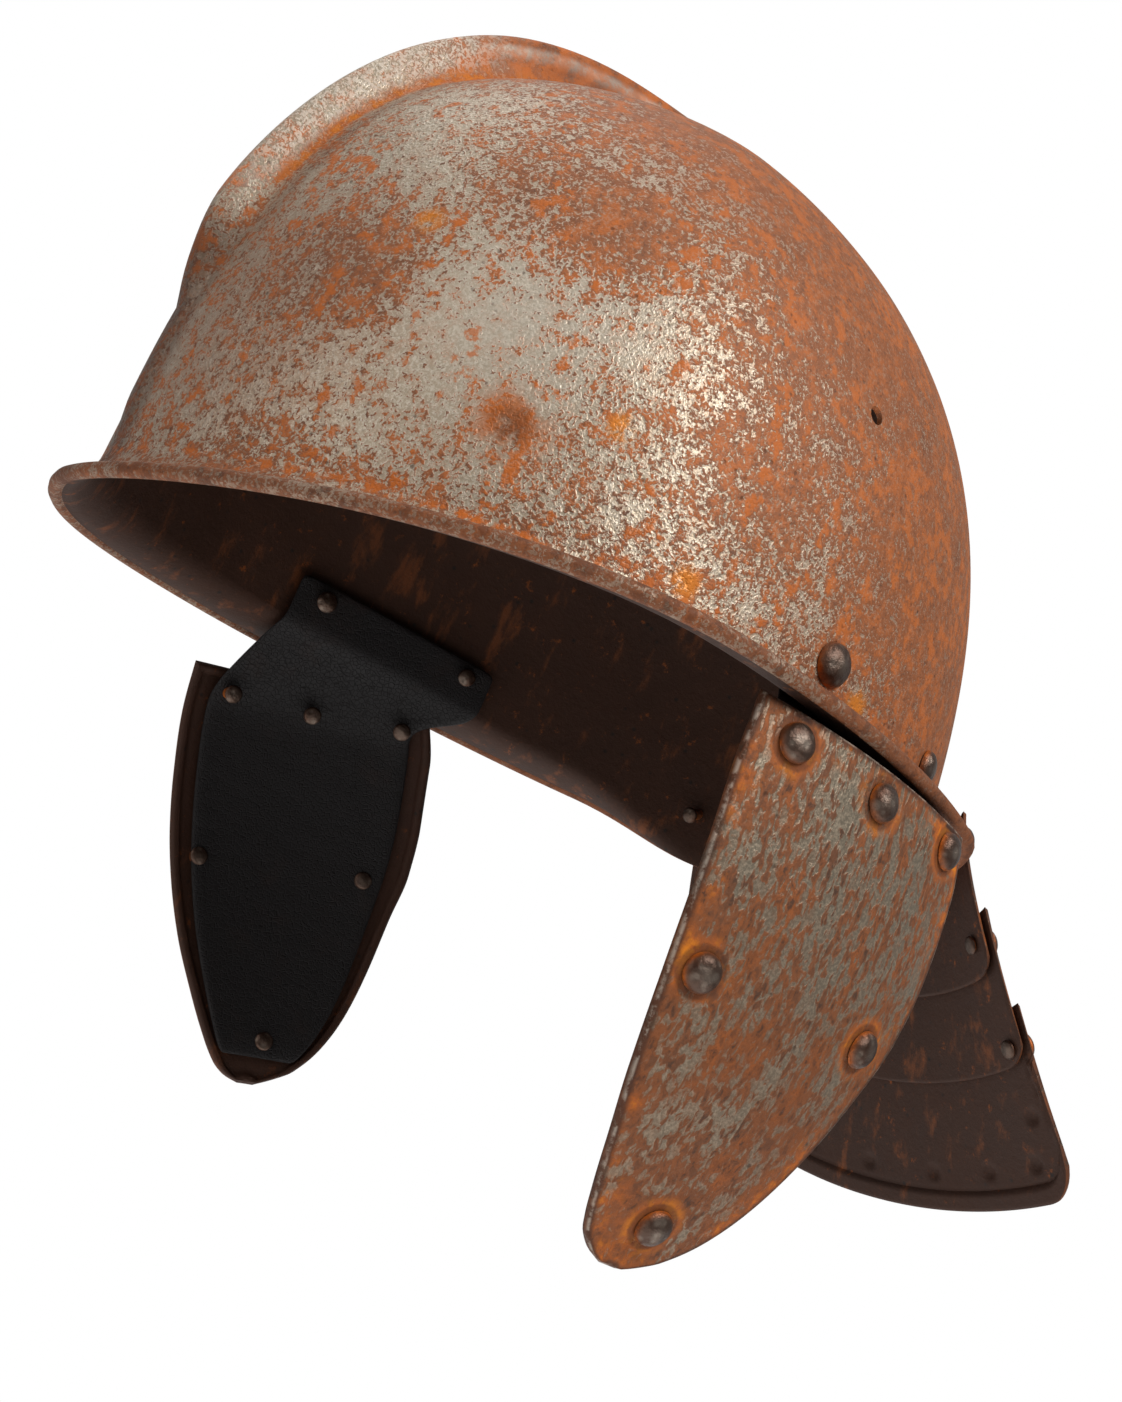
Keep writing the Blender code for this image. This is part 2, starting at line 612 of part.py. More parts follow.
def make_rivets(riveter, bowl, bowl_tree, cheeks, leathers, lames):
    for side, word in ((1, "left"), (-1, "right")):
        shift = 0.0 if side > 0 else RIGHT_CHEEK_FORWARD
        outward = (side, 0.0, 0.0)
        for number, behind in enumerate(BOWL_RIVETS, 1):
            bearing = math.atan2(BOWL_HALF_WIDTH, shift - behind)
            level = float(crease_height(bearing)) + BOWL_RIVET_RISE
            place = seat(bowl_tree, (side * 0.08, behind - shift, level), outward)
            radius = BIG_RIVET if number == 1 else MID_RIVET
            riveter.add(f"bowl_rivet_{word}_{number}", place, radius, BOWL_RIVET_GRIP, (bowl, leathers[word]))
        tree = surface_tree(cheeks[word])
        for number, (down, back) in enumerate(CHEEK_RIVETS, 1):
            point = hang(side, cheek_point(down * CHEEK_HEIGHT, CHEEK_FRONT + back * CHEEK_WIDTH))
            place = seat(tree, point, outward)
            grip = UPPER_CHEEK_GRIP if number <= UPPER_CHEEK_RIVETS else CHEEK_RIVET_GRIP
            riveter.add(f"cheek_rivet_{word}_{number}", place, MID_RIVET, grip, (cheeks[word], leathers[word]))
    behind, rise = STUB_RIVET
    level = float(crease_height(math.atan2(BOWL_HALF_WIDTH, -behind))) + rise
    riveter.add("bowl_rivet_stub", seat(bowl_tree, (0.08, behind, level), (1, 0, 0)), STUB_RADIUS, STUB_GRIP,
                (bowl,), burr=0.0, rise=0.4)
    height, behind = LINING_HOLE
    riveter.hole(bowl, seat(bowl_tree, (0.05, behind, height), (1, 0, 0)), LINING_HOLE_RADIUS)

    inner_plates = (bowl, lames[0], lames[1])
    turning = []
    for index, (word, down, across) in enumerate(PIVOTS):
        tree = surface_tree(lames[index])
        grip = TAIL_HANGER_GRIP if index == 0 else LAME_STEP + LAME_PLATE + PIVOT_GAP
        pair = []
        for side, hand in ((1, "left"), (-1, "right")):
            point = tail_point(np.array(side * across), np.array(down), 0.0)
            place = seat(tree, point, (side * 0.75, 0.62, 0.2))
            pair.append(riveter.add(f"tail_pivot_{word}_{hand}", place, PIVOT_RIVET, grip,
                                    (lames[index], inner_plates[index]), gap=PIVOT_GAP))
            axis = place[0]
        turning.append((Vector((0, axis.y, axis.z - CROWN)), pair))
    # Each lame turns about its own pair of pivots, and carries the next lame's pair
    for index, lame in enumerate(lames):
        carried = turning[index + 1][1] if index + 1 < len(lames) else []
        add_hinge("hinge_" + lame.name, turning[index][0], [lame] + carried)


def add_hinge(name, centre, pieces):
    """An empty on the axis that the pieces turn about."""
    hinge = bpy.data.objects.new(name, None)
    bpy.context.scene.collection.objects.link(hinge)
    hinge.location = centre
    for piece in pieces:
        piece.parent = hinge
        piece.matrix_parent_inverse = Matrix.Translation(-centre)


def main():
    clear_scene()
    steel = material("rusted_steel", (0.32, 0.19, 0.11), 0.62, 0.75)
    dark_steel = material("dark_steel", (0.10, 0.06, 0.045), 0.66, 0.7)
    rivet_steel = material("rivet_iron", (0.14, 0.10, 0.08), 0.5, 0.85)
    hide = material("black_leather", (0.020, 0.015, 0.013), 0.7, 0.0)
    bowl = make_bowl(steel)
    cheeks = {"left": make_cheek("cheek_plate_left", 1, steel), "right": make_cheek("cheek_plate_right", -1, steel)}
    bowl_tree = surface_tree(bowl)
    leathers = {"left": make_leather("cheek_leather_left", 1, bowl_tree, hide),
                "right": make_leather("cheek_leather_right", -1, bowl_tree, hide)}
    lames = [make_lame(index, dark_steel) for index in range(len(LAMES))]
    riveter = Riveter(rivet_steel)
    make_rivets(riveter, bowl, bowl_tree, cheeks, leathers, lames)
    riveter.cut()


main()
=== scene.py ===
"""A lobster-tail pot helmet with its rust, leather and rivets, in a plain pale studio.

Metres, +Z up, front towards -Y. Heights in the tables of shapes are measured from the level of the
rim, and the finished pieces are moved down so that the inside of the crown is the origin. Places in
the tables of stains are measured from that origin."""

import math

import bmesh
import bpy
import numpy as np
from bpy.props import FloatProperty, FloatVectorProperty, PointerProperty
from mathutils import Matrix, Vector
from mathutils.bvhtree import BVHTree


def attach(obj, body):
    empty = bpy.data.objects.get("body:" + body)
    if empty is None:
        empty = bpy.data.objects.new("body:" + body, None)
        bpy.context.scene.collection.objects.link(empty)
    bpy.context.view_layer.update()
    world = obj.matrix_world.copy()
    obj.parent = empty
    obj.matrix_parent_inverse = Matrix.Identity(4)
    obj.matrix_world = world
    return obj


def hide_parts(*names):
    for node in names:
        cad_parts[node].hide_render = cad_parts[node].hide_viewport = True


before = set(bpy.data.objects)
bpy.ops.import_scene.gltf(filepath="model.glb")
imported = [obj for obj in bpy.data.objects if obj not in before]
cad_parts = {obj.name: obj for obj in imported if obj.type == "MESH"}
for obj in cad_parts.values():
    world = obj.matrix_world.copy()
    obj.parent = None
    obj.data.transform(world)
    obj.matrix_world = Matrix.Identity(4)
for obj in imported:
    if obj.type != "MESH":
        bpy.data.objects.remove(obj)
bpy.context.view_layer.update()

bl_info = {
    "name": "Lobster-tail pot helmet",
    "version": (1, 0, 0),
    "blender": (4, 5, 0),
    "location": "3D View > Sidebar > Helmet",
    "description": "Builds a rusted pot helmet with cheek plates and an articulated neck guard",
    "category": "Add Mesh",
}

# Profile powers of the bowl
FRONT_PLAN_POWER = 1.77
SIDE_PROFILE_POWER = 2.48
FRONT_PROFILE_POWER = 2.64
REAR_PROFILE_POWER = 2.39

# Brim
BRIM_FRONT_REACH = 0.0085
BRIM_SIDE_REACH = 0.0185
BRIM_TAIL_REACH = 0.0010
BRIM_FRONT_DROP = 0.0115
BRIM_SIDE_DROP = 0.0065
BRIM_TAIL_DROP = 0.0040
ROLL_RADIUS = 0.0019
TAIL_ROLL_RADIUS = 0.0009
SKIRT_DROP = 0.0080
TAIL_START_BEARING = math.radians(138)
TAIL_FULL_BEARING = math.radians(160)
# Degrees at which rings of the brim lie: out over its flare, round its roll, and back below
FLARE_TURNS = (10, 20, 31, 42, 53, 64, 74)
ROLL_TURNS = (95, 65, 35, 5, -30, -65, -100, -130, -160)
RETURN_TURNS = (66, 54, 41, 28, 14)

# Comb: angle over the top in degrees and share of the comb's height
COMB_RUN = (
    (19, 0.00), (26, 0.32), (34, 0.54), (50, 0.60), (62, 0.70), (72, 0.84),
    (84, 0.96), (94, 1.00), (106, 0.80), (118, 0.40), (134, 0.00),
)
# Distance from the ridge as a share of the comb's half width, and share of its height
COMB_SECTION = (
    (0.00, 1.00), (0.26, 0.99), (0.45, 0.94), (0.58, 0.83), (0.70, 0.68), (0.82, 0.45),
    (0.95, 0.24), (1.12, 0.09), (1.40, 0.02), (1.80, 0.0), (2.00, 0.0), (9.0, 0.0),
)
KEEL_HEIGHT = 0.0014

# Cheek plates: way down, front edge and rear edge, as shares of the height and the width
CHEEK_EDGES = (
    (0.00, 0.010, 0.955), (0.13, 0.000, 0.995), (0.29, 0.012, 1.000), (0.42, 0.030, 0.980),
    (0.54, 0.058, 0.925), (0.68, 0.107, 0.855), (0.80, 0.168, 0.775), (0.89, 0.220, 0.685),
    (0.955, 0.268, 0.580), (0.985, 0.315, 0.490), (1.00, 0.370, 0.430),
)
CHEEK_FRONT = 0.0170
CHEEK_GAP = 0.0035
CHEEK_INSET = 0.0070
CHEEK_CREST = 0.0350
CHEEK_FALL = 0.0154
CHEEK_LEAN = 0.0230
CHEEK_BOW = 0.0070
CHEEK_TURN = 0.0014
CHEEK_TURN_WIDTH = 0.0028
CHEEK_BEND = 0.0006
CHEEK_ROUNDING = 0.0012
CHEEK_CALM = 0.01
# Way down and way back, as shares of the height and the width
CHEEK_RIVETS = (
    (0.060, 0.150), (0.066, 0.500), (0.054, 0.865), (0.486, 0.146), (0.463, 0.811), (0.905, 0.455),
)
TOP_CHEEK_RIVETS = 3
RIGHT_CHEEK_FORWARD = 0.0440
RIGHT_CHEEK_DROP = 0.0032
RIGHT_CHEEK_SWING = math.radians(14)

# Leather: ways down the plate and back from its front edge, then steps up the hanger, as shares
LEATHER_ROWS = (0.042, 0.10, 0.16, 0.27, 0.40, 0.53, 0.66, 0.78, 0.88, 0.945)
LEATHER_COLUMNS = (0.08, 0.15, 0.22, 0.40, 0.58, 0.76, 0.84, 0.92)
LEATHER_CLIMB = (1.0, 0.80, 0.62, 0.36, 0.16, 0.0, -0.16, -0.34)
LEATHER_BEND = (-1.4, 0.1)
LEATHER_GAP = 0.0009
LEATHER_TAB_TOP = 0.0140
LEATHER_TAB_FRONT = 0.0330
LEATHER_TAB_REAR = 0.1030
BOWL_RIVET_RISE = 0.0085
BOWL_RIVETS = (0.0430, 0.0955)
STUB_RIVET = (0.0660, 0.0008)
LINING_HOLE = (0.0810, 0.0345)
LINING_HOLE_RADIUS = 0.0023

# Tail: the lames with where each starts and ends down the tail, and the pivots with their places
TAIL_TOP_CLEARANCE = 0.0050
TAIL_TOP_HEIGHT = 0.0130
TAIL_TOP_SIDE_HEIGHT = 0.0190
TAIL_FLARE_POWER = 1.25
TAIL_SWELL = 0.08
LAMES = (
    ("tail_lame_upper", 0.00, 0.44), ("tail_lame_middle", 0.275, 0.67),
    ("tail_lame_lower", 0.53, 1.00),
)
PIVOTS = (("upper", 0.070, 0.925), ("middle", 0.335, 0.880), ("lower", 0.590, 0.860))
LAME_STEP = 0.0024
LAME_CORNER = 0.0100
LAME_TURN = 0.0010
LAME_ROUNDING = 0.0008
# Bosses punched outwards along the border, as places across and down
BOSSES = tuple((across, 0.905) for across in (-0.87, -0.67, -0.43, -0.14, 0.14, 0.43, 0.67, 0.87))
BOSSES += ((-0.912, 0.795), (0.912, 0.795))
BOSS_RADIUS = 0.0030
BOSS_FLAT = 0.0006
BOSS_HEIGHT = 0.0012
BORDER_CREASE = 0.0046
BORDER_BEND = 0.0008
GROOVE_DEPTH = 0.0005
GROOVE_REACH = 0.0007

# Waves of plate beaten by hand: height, size and seed
BOWL_WAVE = (0.00035, 0.045, 5)
CHEEK_WAVE = (0.00030, 0.030, 11)
LAME_WAVE = (0.00012, 0.035, 20)

# Rows and columns of the meshes
BOWL_GRID = (141, 151)
BOWL_TREE_GRID = (61, 71)
CHEEK_GRID = (111, 81)
CHEEK_TREE_GRID = (41, 31)
LAME_GRID = (71, 141)
LAME_TREE_GRID = (41, 61)

# Where rust lies thicker or thinner on the left of the bowl: centre, reach and how much more
RUST_CLOUDS = (
    ((0.0820, -0.0360, -0.0660), 0.026, 0.50), ((0.0500, -0.0790, -0.0900), 0.030, 0.40),
    ((0.0677, -0.0545, -0.0567), 0.024, 0.30), ((0.0800, -0.0560, -0.0980), 0.030, -0.35),
    ((0.0950, -0.0250, -0.0850), 0.022, -0.25), ((0.0700, -0.0750, -0.1280), 0.030, -0.10),
    ((0.0990, 0.0100, -0.1080), 0.026, 0.30), ((0.0400, -0.0700, -0.0450), 0.022, -0.20),
)
# Spots on the left of the bowl: centre, and the distances at which each begins and ends to fade
AMBER_SPOTS = (
    ((0.0973, -0.0271, -0.1078), 0.0012, 0.0046), ((0.1041, -0.0028, -0.1324), 0.0015, 0.0052),
    ((0.0975, 0.0560, -0.1340), 0.0015, 0.0060), ((0.0582, -0.0707, -0.0750), 0.0010, 0.0050),
)
BLOTCH = (0.0876, -0.0461, -0.1166)
# Painted shade darkening the brow: centre, and the distances at which it begins and ends to fade
PAINTED_BROW_SHADE = ((0.0300, -0.0900, -0.1080), 0.010, 0.055)
# Painted pool of light on the side of the bowl: centre, and the distances at which it begins and ends to
# fade
PAINTED_SIDE_LIGHT = ((0.0850, -0.0530, -0.0880), 0.005, 0.036)

# Rivets: how far each kind's shank reaches past the plate and the leather, and the seeds of its dents
SHANK = 0.42
BURR = 0.62
HEAD_GAP = 0.0002
BOWL_REACH = 0.0036
TOP_CHEEK_REACH = 0.0062
CHEEK_REACH = 0.0012
STUB_REACH = 0.0003
TOP_PIVOT_REACH = 0.0180
PIVOT_REACH = 0.0007
BOWL_RIVET_SEED, CHEEK_RIVET_SEED, STUB_SEED, PIVOT_SEED = 30, 40, 60, 70
BODIES = ("helmet", "tail_upper", "tail_middle", "tail_lower")
SIDES = ((1, "left"), (-1, "right"))

WHITE = (1.0, 1.0, 1.0, 1.0)
PALE_GREY = (0.86, 0.86, 0.86, 1.0)
PIT_BLACK = (0.008, 0.006, 0.005, 1.0)


def length(name, description, default):
    return FloatProperty(name=name, description=description, default=default, min=0.0,
                         unit="LENGTH", precision=4)


def colour(name, description, *light):
    return FloatVectorProperty(name=name, description=description, subtype="COLOR", size=4,
                               min=0.0, max=1.0, default=(*map(linear, light), 1.0))


def linear(part):
    """A light value from 0 to 255 as the eye sees it, made linear."""
    part /= 255
    return part / 12.92 if part <= 0.04045 else ((part + 0.055) / 1.055) ** 2.4


class HelmetSizes(bpy.types.PropertyGroup):
    bowl_half_width: length("Bowl half width", "From the middle to the crease at the side", 0.1045)
    bowl_front: length("Bowl front", "From the crown's axis to the crease at the brow", 0.0995)
    bowl_rear: length("Bowl rear", "From the crown's axis to the crease at the nape", 0.1435)
    bowl_height: length("Bowl height", "From the rim to the top beside the comb", 0.1525)
    plate: length("Bowl plate", "Thickness of the bowl's steel", 0.0014)
    rim_arch: length("Rim arch", "How far the rim rises at the sides", 0.0078)
    comb_height: length("Comb height", "Height of the comb above the bowl", 0.0175)
    comb_half_width: length("Comb half width", "Half the width of the comb at its foot", 0.0058)
    cheek_height: length("Cheek height", "Height of a cheek plate", 0.1215)
    cheek_width: length("Cheek width", "Width of a cheek plate", 0.0800)
    cheek_plate: length("Cheek steel", "Thickness of a cheek plate", 0.0014)
    leather: length("Leather", "Thickness of the hangers", 0.0020)
    tail_top_half_width: length("Tail top half width", "Half the tail's width at the nape", 0.0590)
    tail_foot_half_width: length("Tail foot half width", "Half the tail's width at its foot", 0.0915)
    tail_top_end: length("Tail top end", "From the crown back to the tail's upper corners", 0.1280)
    tail_foot_end: length("Tail foot end", "From the crown back to the tail's lower corners", 0.1750)
    tail_foot_middle: length("Tail foot middle", "From the crown back to the tail's foot", 0.1780)
    tail_middle_drop: length("Tail drop", "Height of the tail on the middle line", 0.0970)
    tail_side_drop: length("Tail side drop", "Height of the tail at its sides", 0.0850)
    lame_plate: length("Lame steel", "Thickness of a lame", 0.0013)
    big_rivet: length("Big rivet", "Radius of the larger heads", 0.0053)
    middle_rivet: length("Middle rivet", "Radius of the smaller heads", 0.0045)
    pivot_rivet: length("Pivot rivet", "Radius of the heads that the lames turn on", 0.0040)
    stub_rivet: length("Stub rivet", "Radius of the broken rivet", 0.0019)


class HelmetFinishes(bpy.types.PropertyGroup):
    steel: colour("Steel", "Bare steel where the rust is thin", 165, 149, 128)
    bright_steel: colour("Bright steel", "Worn steel", 214, 203, 186)
    brown_rust: colour("Brown rust", "Old rust over most of the bowl", 128, 70, 32)
    orange_rust: colour("Orange rust", "Fresh rust in speckles and runs", 182, 94, 24)
    amber_rust: colour("Amber rust", "Fresh rust in a few spots", 200, 118, 20)
    dark_rust: colour("Dark rust", "Scale in pits and along edges", 61, 35, 22)
    # Darker than the bowl's steel partly as painted shade, where the cheek plates face down and away
    # from the light
    cheek_steel: colour("Cheek steel", "Greyer steel of the cheek plates", 114, 104, 89)
    # Made dark as painted shade, where a head would shade the inside of the helmet
    shaded_inner_steel: colour("Inner steel", "Inside of the bowl and the lames", 46, 26, 15)
    rivet_iron: colour("Rivet iron", "Iron of the rivets", 80, 63, 54)
    # Black leather, made near black partly as painted shade of a head that is not there
    leather: colour("Leather", "Hangers of the cheek plates", 18, 14, 14)
    floor: colour("Floor", "The studio floor", 250, 250, 250)


# Reading the tables

def smooth_step(low, high, value):
    share = np.clip((value - low) / (high - low), 0.0, 1.0)
    return share * share * (3.0 - 2.0 * share)


def table_value(table, position, column=1):
    """A smooth reading of a table whose first column rises, by cubics that don't overshoot."""
    keys = np.array([row[0] for row in table], float)
    values = np.array([row[column] for row in table], float)
    slopes = np.diff(values) / np.diff(keys)
    tangents = np.concatenate(([slopes[0]], np.zeros(len(keys) - 2), [slopes[-1]]))
    for k in range(1, len(keys) - 1):
        if slopes[k - 1] * slopes[k] > 0.0:
            tangents[k] = 2.0 * slopes[k - 1] * slopes[k] / (slopes[k - 1] + slopes[k])
    position = np.clip(position, keys[0], keys[-1])
    cell = np.clip(np.searchsorted(keys, position, side="right") - 1, 0, len(keys) - 2)
    width = keys[cell + 1] - keys[cell]
    t = (position - keys[cell]) / width
    return ((2 * t**3 - 3 * t**2 + 1) * values[cell] + (t**3 - 2 * t**2 + t) * width * tangents[cell]
            + (3 * t**2 - 2 * t**3) * values[cell + 1] + (t**3 - t**2) * width * tangents[cell + 1])


def unevenness(points, size, seed):
    """Slow waves from -1 to 1 over a surface, for plate beaten by hand."""
    chance = np.random.default_rng(seed)
    waves = 7
    total = np.zeros(points.shape[:-1])
    for _ in range(waves):
        direction = chance.normal(size=3)
        direction *= 2 * math.pi / (size * chance.uniform(0.7, 1.5) * np.linalg.norm(direction))
        total += np.sin(points @ direction + chance.uniform(0, 2 * math.pi))
    return total / waves


def crowded(count, share):
    """Steps from 0 to 1 that lie closer together towards both ends."""
    even = np.linspace(0, 1, count)
    return share * (0.5 - 0.5 * np.cos(math.pi * even)) + (1 - share) * even


# Bowl surface

def plan_radius(s, bearing):
    side = np.abs(np.sin(bearing)) / s.bowl_half_width
    along = np.cos(bearing)
    ahead = np.clip(along, 0, 1) / s.bowl_front
    behind = np.clip(-along, 0, 1) / s.bowl_rear
    front = (side**FRONT_PLAN_POWER + ahead**FRONT_PLAN_POWER) ** (-1 / FRONT_PLAN_POWER)
    rear = np.maximum(side**2 + behind**2, 1e-6) ** -0.5
    return np.where(along > 0, front, rear)


def tail_share(bearing):
    turned = np.arccos(np.clip(np.cos(bearing), -1, 1))
    return smooth_step(TAIL_START_BEARING, TAIL_FULL_BEARING, turned)


def rim_height(s, bearing):
    return s.rim_arch * np.sin(bearing) ** 2 - SKIRT_DROP * tail_share(bearing)


def brim_reach(bearing):
    ahead = np.clip(np.cos(bearing), 0, 1) ** 1.2
    reach = BRIM_SIDE_REACH + (BRIM_FRONT_REACH - BRIM_SIDE_REACH) * ahead
    return reach + (BRIM_TAIL_REACH - reach) * tail_share(bearing)


def brim_drop(bearing):
    along = np.cos(bearing)
    end = np.where(along > 0, BRIM_FRONT_DROP, BRIM_TAIL_DROP)
    return BRIM_SIDE_DROP + (end - BRIM_SIDE_DROP) * along**2


def crease_height(s, bearing):
    return rim_height(s, bearing) + brim_drop(bearing)


def crease_beside(s, behind):
    """Height of the crease on the bowl's side, at a distance behind the crown."""
    return float(crease_height(s, math.atan2(s.bowl_half_width, -behind)))


def bowl_point(s, over, aside, wall):
    """A point of the bowl: over turns from the brow over the top to the nape, aside turns out from
    the comb, and wall is how far the surface lies inside the outer one."""
    x = np.sin(aside)
    y = -np.cos(over) * np.cos(aside)
    z = np.sin(over) * np.cos(aside)
    bearing = np.arctan2(x, -y)
    level = np.hypot(x, y)
    base = crease_height(s, bearing)
    along = np.cos(bearing)
    end_power = np.where(along > 0, FRONT_PROFILE_POWER, REAR_PROFILE_POWER)
    power = SIDE_PROFILE_POWER + (end_power - SIDE_PROFILE_POWER) * along**2
    rise = s.bowl_height - wall - base
    reach = ((level / (plan_radius(s, bearing) - wall)) ** power + (z / rise) ** power) ** (-1 / power)
    offset = np.abs(reach * x) + 1.2 * wall
    degrees = np.degrees(over)
    keel = KEEL_HEIGHT * smooth_step(0, 8, degrees) * (1 - smooth_step(40, 60, degrees))
    height = np.maximum(s.comb_height * table_value(COMB_RUN, degrees), keel)
    reach = reach + height * table_value(COMB_SECTION, offset / s.comb_half_width)
    point = np.stack([reach * x, reach * y, base + reach * z], -1)
    calm = np.minimum(1.0, np.abs(point[..., :1]) / 0.02) * np.minimum(1.0, z[..., None] * 6)
    deep, size, seed = BOWL_WAVE
    return point - np.stack([x, y, z], -1) * calm * deep * (1 + unevenness(point, size, seed)[..., None])


# Cheek and tail surfaces

def cheek_point(s, down, behind):
    """A point of the left cheek's outer face, from the way down in metres and the way behind."""
    share = np.clip(down / s.cheek_height, 0.0, 1.0)
    rear = CHEEK_FRONT + s.cheek_width
    out = s.bowl_half_width + BRIM_SIDE_REACH - CHEEK_INSET
    out = out - CHEEK_FALL * ((behind - CHEEK_CREST) / (rear - CHEEK_CREST)) ** 2
    level = s.rim_arch * out**2 / (out**2 + behind**2) - CHEEK_GAP - down
    out = out + CHEEK_BOW * np.sin(math.pi * np.minimum(share * 1.05, 1.0)) - CHEEK_LEAN * share**1.4
    return np.stack([out, behind, level], -1)


def hang(s, side, points):
    """Keeps left-hand points, or mirrors them to the right, moves them and swings the tip back."""
    if side > 0:
        return points
    middle = CHEEK_FRONT + s.cheek_width / 2
    behind, level = points[..., 1] - middle, points[..., 2]
    sine, cosine = math.sin(RIGHT_CHEEK_SWING), math.cos(RIGHT_CHEEK_SWING)
    swung = middle + behind * cosine - level * sine - RIGHT_CHEEK_FORWARD
    return np.stack([-points[..., 0], swung, behind * sine + level * cosine - RIGHT_CHEEK_DROP], -1)


def cheek_face(s, shares, across):
    """Points of the left cheek's outer face, from shares of its height and of its width there."""
    front = CHEEK_FRONT + s.cheek_width * table_value(CHEEK_EDGES, shares, 1)
    rear = CHEEK_FRONT + s.cheek_width * table_value(CHEEK_EDGES, shares, 2)
    behind = front[:, None] + across[None, :] * (rear - front)[:, None]
    return cheek_point(s, np.broadcast_to((shares * s.cheek_height)[:, None], behind.shape), behind)


def cheek_points(s, rows, columns):
    return cheek_face(s, crowded(rows, 0.45), crowded(columns, 0.45))


def cheek_rivet_points(s, side):
    return [hang(s, side, cheek_point(s, down * s.cheek_height, CHEEK_FRONT + back * s.cheek_width))
            for down, back in CHEEK_RIVETS]


def tail_point(s, across, down, lift):
    """A point of the tail surface: across runs from -1 on the right to 1, down from 0 to 1."""
    flare = np.sign(down) * np.abs(down) ** TAIL_FLARE_POWER
    half = s.tail_top_half_width + (s.tail_foot_half_width - s.tail_top_half_width) * flare
    end = s.tail_top_end + (s.tail_foot_end - s.tail_top_end) * flare
    top_middle = s.bowl_rear + TAIL_TOP_CLEARANCE
    middle = top_middle + (s.tail_foot_middle - top_middle) * flare
    side_level = TAIL_TOP_SIDE_HEIGHT - s.tail_side_drop * down
    middle_level = TAIL_TOP_HEIGHT - s.tail_middle_drop * down
    bend = across**2
    point = np.stack([half * across * (1 + TAIL_SWELL * (1 - bend)), end + (middle - end) * (1 - bend),
                      middle_level + (side_level - middle_level) * bend], -1)
    if lift:
        step = 0.01
        ahead = tail_point(s, across + step, down, 0.0) - tail_point(s, across - step, down, 0.0)
        below = tail_point(s, across, down + step, 0.0) - tail_point(s, across, down - step, 0.0)
        normal = np.cross(ahead, below)
        point = point + lift * normal / np.linalg.norm(normal, axis=-1, keepdims=True)
    return point


# Making meshes

def crown(s):
    return s.bowl_height - s.plate


def set_down(s, shape):
    bmesh.ops.translate(shape, verts=shape.verts, vec=(0, 0, -crown(s)))


def laid_grid(shape, points, layers=()):
    """A grid moved onto an array of points; layers are pairs of a vertex layer and its values."""
    rows, columns = points.shape[0] - 1, points.shape[1] - 1
    made = bmesh.ops.create_grid(shape, x_segments=columns, y_segments=rows, size=1.0)["verts"]
    for corner in made:
        i = round((corner.co.y + 1) / 2 * rows)
        j = round((corner.co.x + 1) / 2 * columns)
        corner.co = points[i, j]
        for layer, values in layers:
            corner[layer] = float(values[i, j])
    return made


def sheet_tree(points):
    """A tree for finding places on a sheet."""
    shape = bmesh.new()
    laid_grid(shape, points)
    shape.normal_update()
    return BVHTree.FromBMesh(shape)


def faces_of(corners):
    return list({face for corner in corners for face in corner.link_faces})


def rim_of(corners):
    return list({edge for corner in corners for edge in corner.link_edges if edge.is_boundary})


def grid_normals(points):
    normal = np.cross(np.gradient(points, axis=0), np.gradient(points, axis=1))
    normal /= np.linalg.norm(normal, axis=2, keepdims=True)
    return normal if (normal * (points - np.array([0.0, 0.02, 0.0]))).sum() > 0 else -normal


def edge_distance(points):
    """How far each place of a grid lies from its foot, its sides and the nearest of all edges."""
    down = np.linalg.norm(np.diff(points, axis=0), axis=2)
    along = np.linalg.norm(np.diff(points, axis=1), axis=2)
    zero_row = np.zeros((1, points.shape[1]))
    zero_column = np.zeros((points.shape[0], 1))
    top = np.concatenate([zero_row, np.cumsum(down, axis=0)])
    foot = np.concatenate([np.cumsum(down[::-1], axis=0)[::-1], zero_row])
    left = np.concatenate([zero_column, np.cumsum(along, axis=1)], axis=1)
    right = np.concatenate([np.cumsum(along[:, ::-1], axis=1)[:, ::-1], zero_column], axis=1)
    sides = np.minimum(left, right)
    return foot, sides, np.minimum(np.minimum(top, foot), sides)


def rounded_off(edge, rounding):
    """How far a face falls away near its edge, for a quarter round of the given radius."""
    near = np.clip(rounding - edge, 0, rounding)
    return rounding - np.sqrt(rounding**2 - near**2)


def nearest(points, centres):
    return np.min([np.linalg.norm(points - centre, axis=2) for centre in centres], axis=0)


def closed_plate(s, front, back, edge, spot, back_finish=1):
    """A plate between two grids, with distances to its edge and its spots kept on the corners."""
    shape = bmesh.new()
    layers = ((shape.verts.layers.float.new("edge"), edge), (shape.verts.layers.float.new("spot"), spot))
    outer = laid_grid(shape, front, layers)
    inner = laid_grid(shape, back, layers)
    inner_faces = faces_of(inner)
    bmesh.ops.reverse_faces(shape, faces=inner_faces)
    for face in inner_faces:
        face.material_index = back_finish
    bmesh.ops.bridge_loops(shape, edges=rim_of(outer) + rim_of(inner))
    bmesh.ops.recalc_face_normals(shape, faces=shape.faces)
    set_down(s, shape)
    return shape


def add_piece(name, shape, body, nodes, finishes, sharp=50):
    """Makes the object of a finished mesh, hangs it on its body and hides the parts of the model that it
    stands for.
    """
    mesh = bpy.data.meshes.new(name)
    shape.to_mesh(mesh)
    shape.free()
    for finish in finishes:
        mesh.materials.append(finish)
    mesh.shade_smooth()
    mesh.set_sharp_from_angle(angle=math.radians(sharp))
    piece = bpy.data.objects.new(name, mesh)
    bpy.context.scene.collection.objects.link(piece)
    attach(piece, body)
    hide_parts(*nodes)
    return piece


# Shader maths

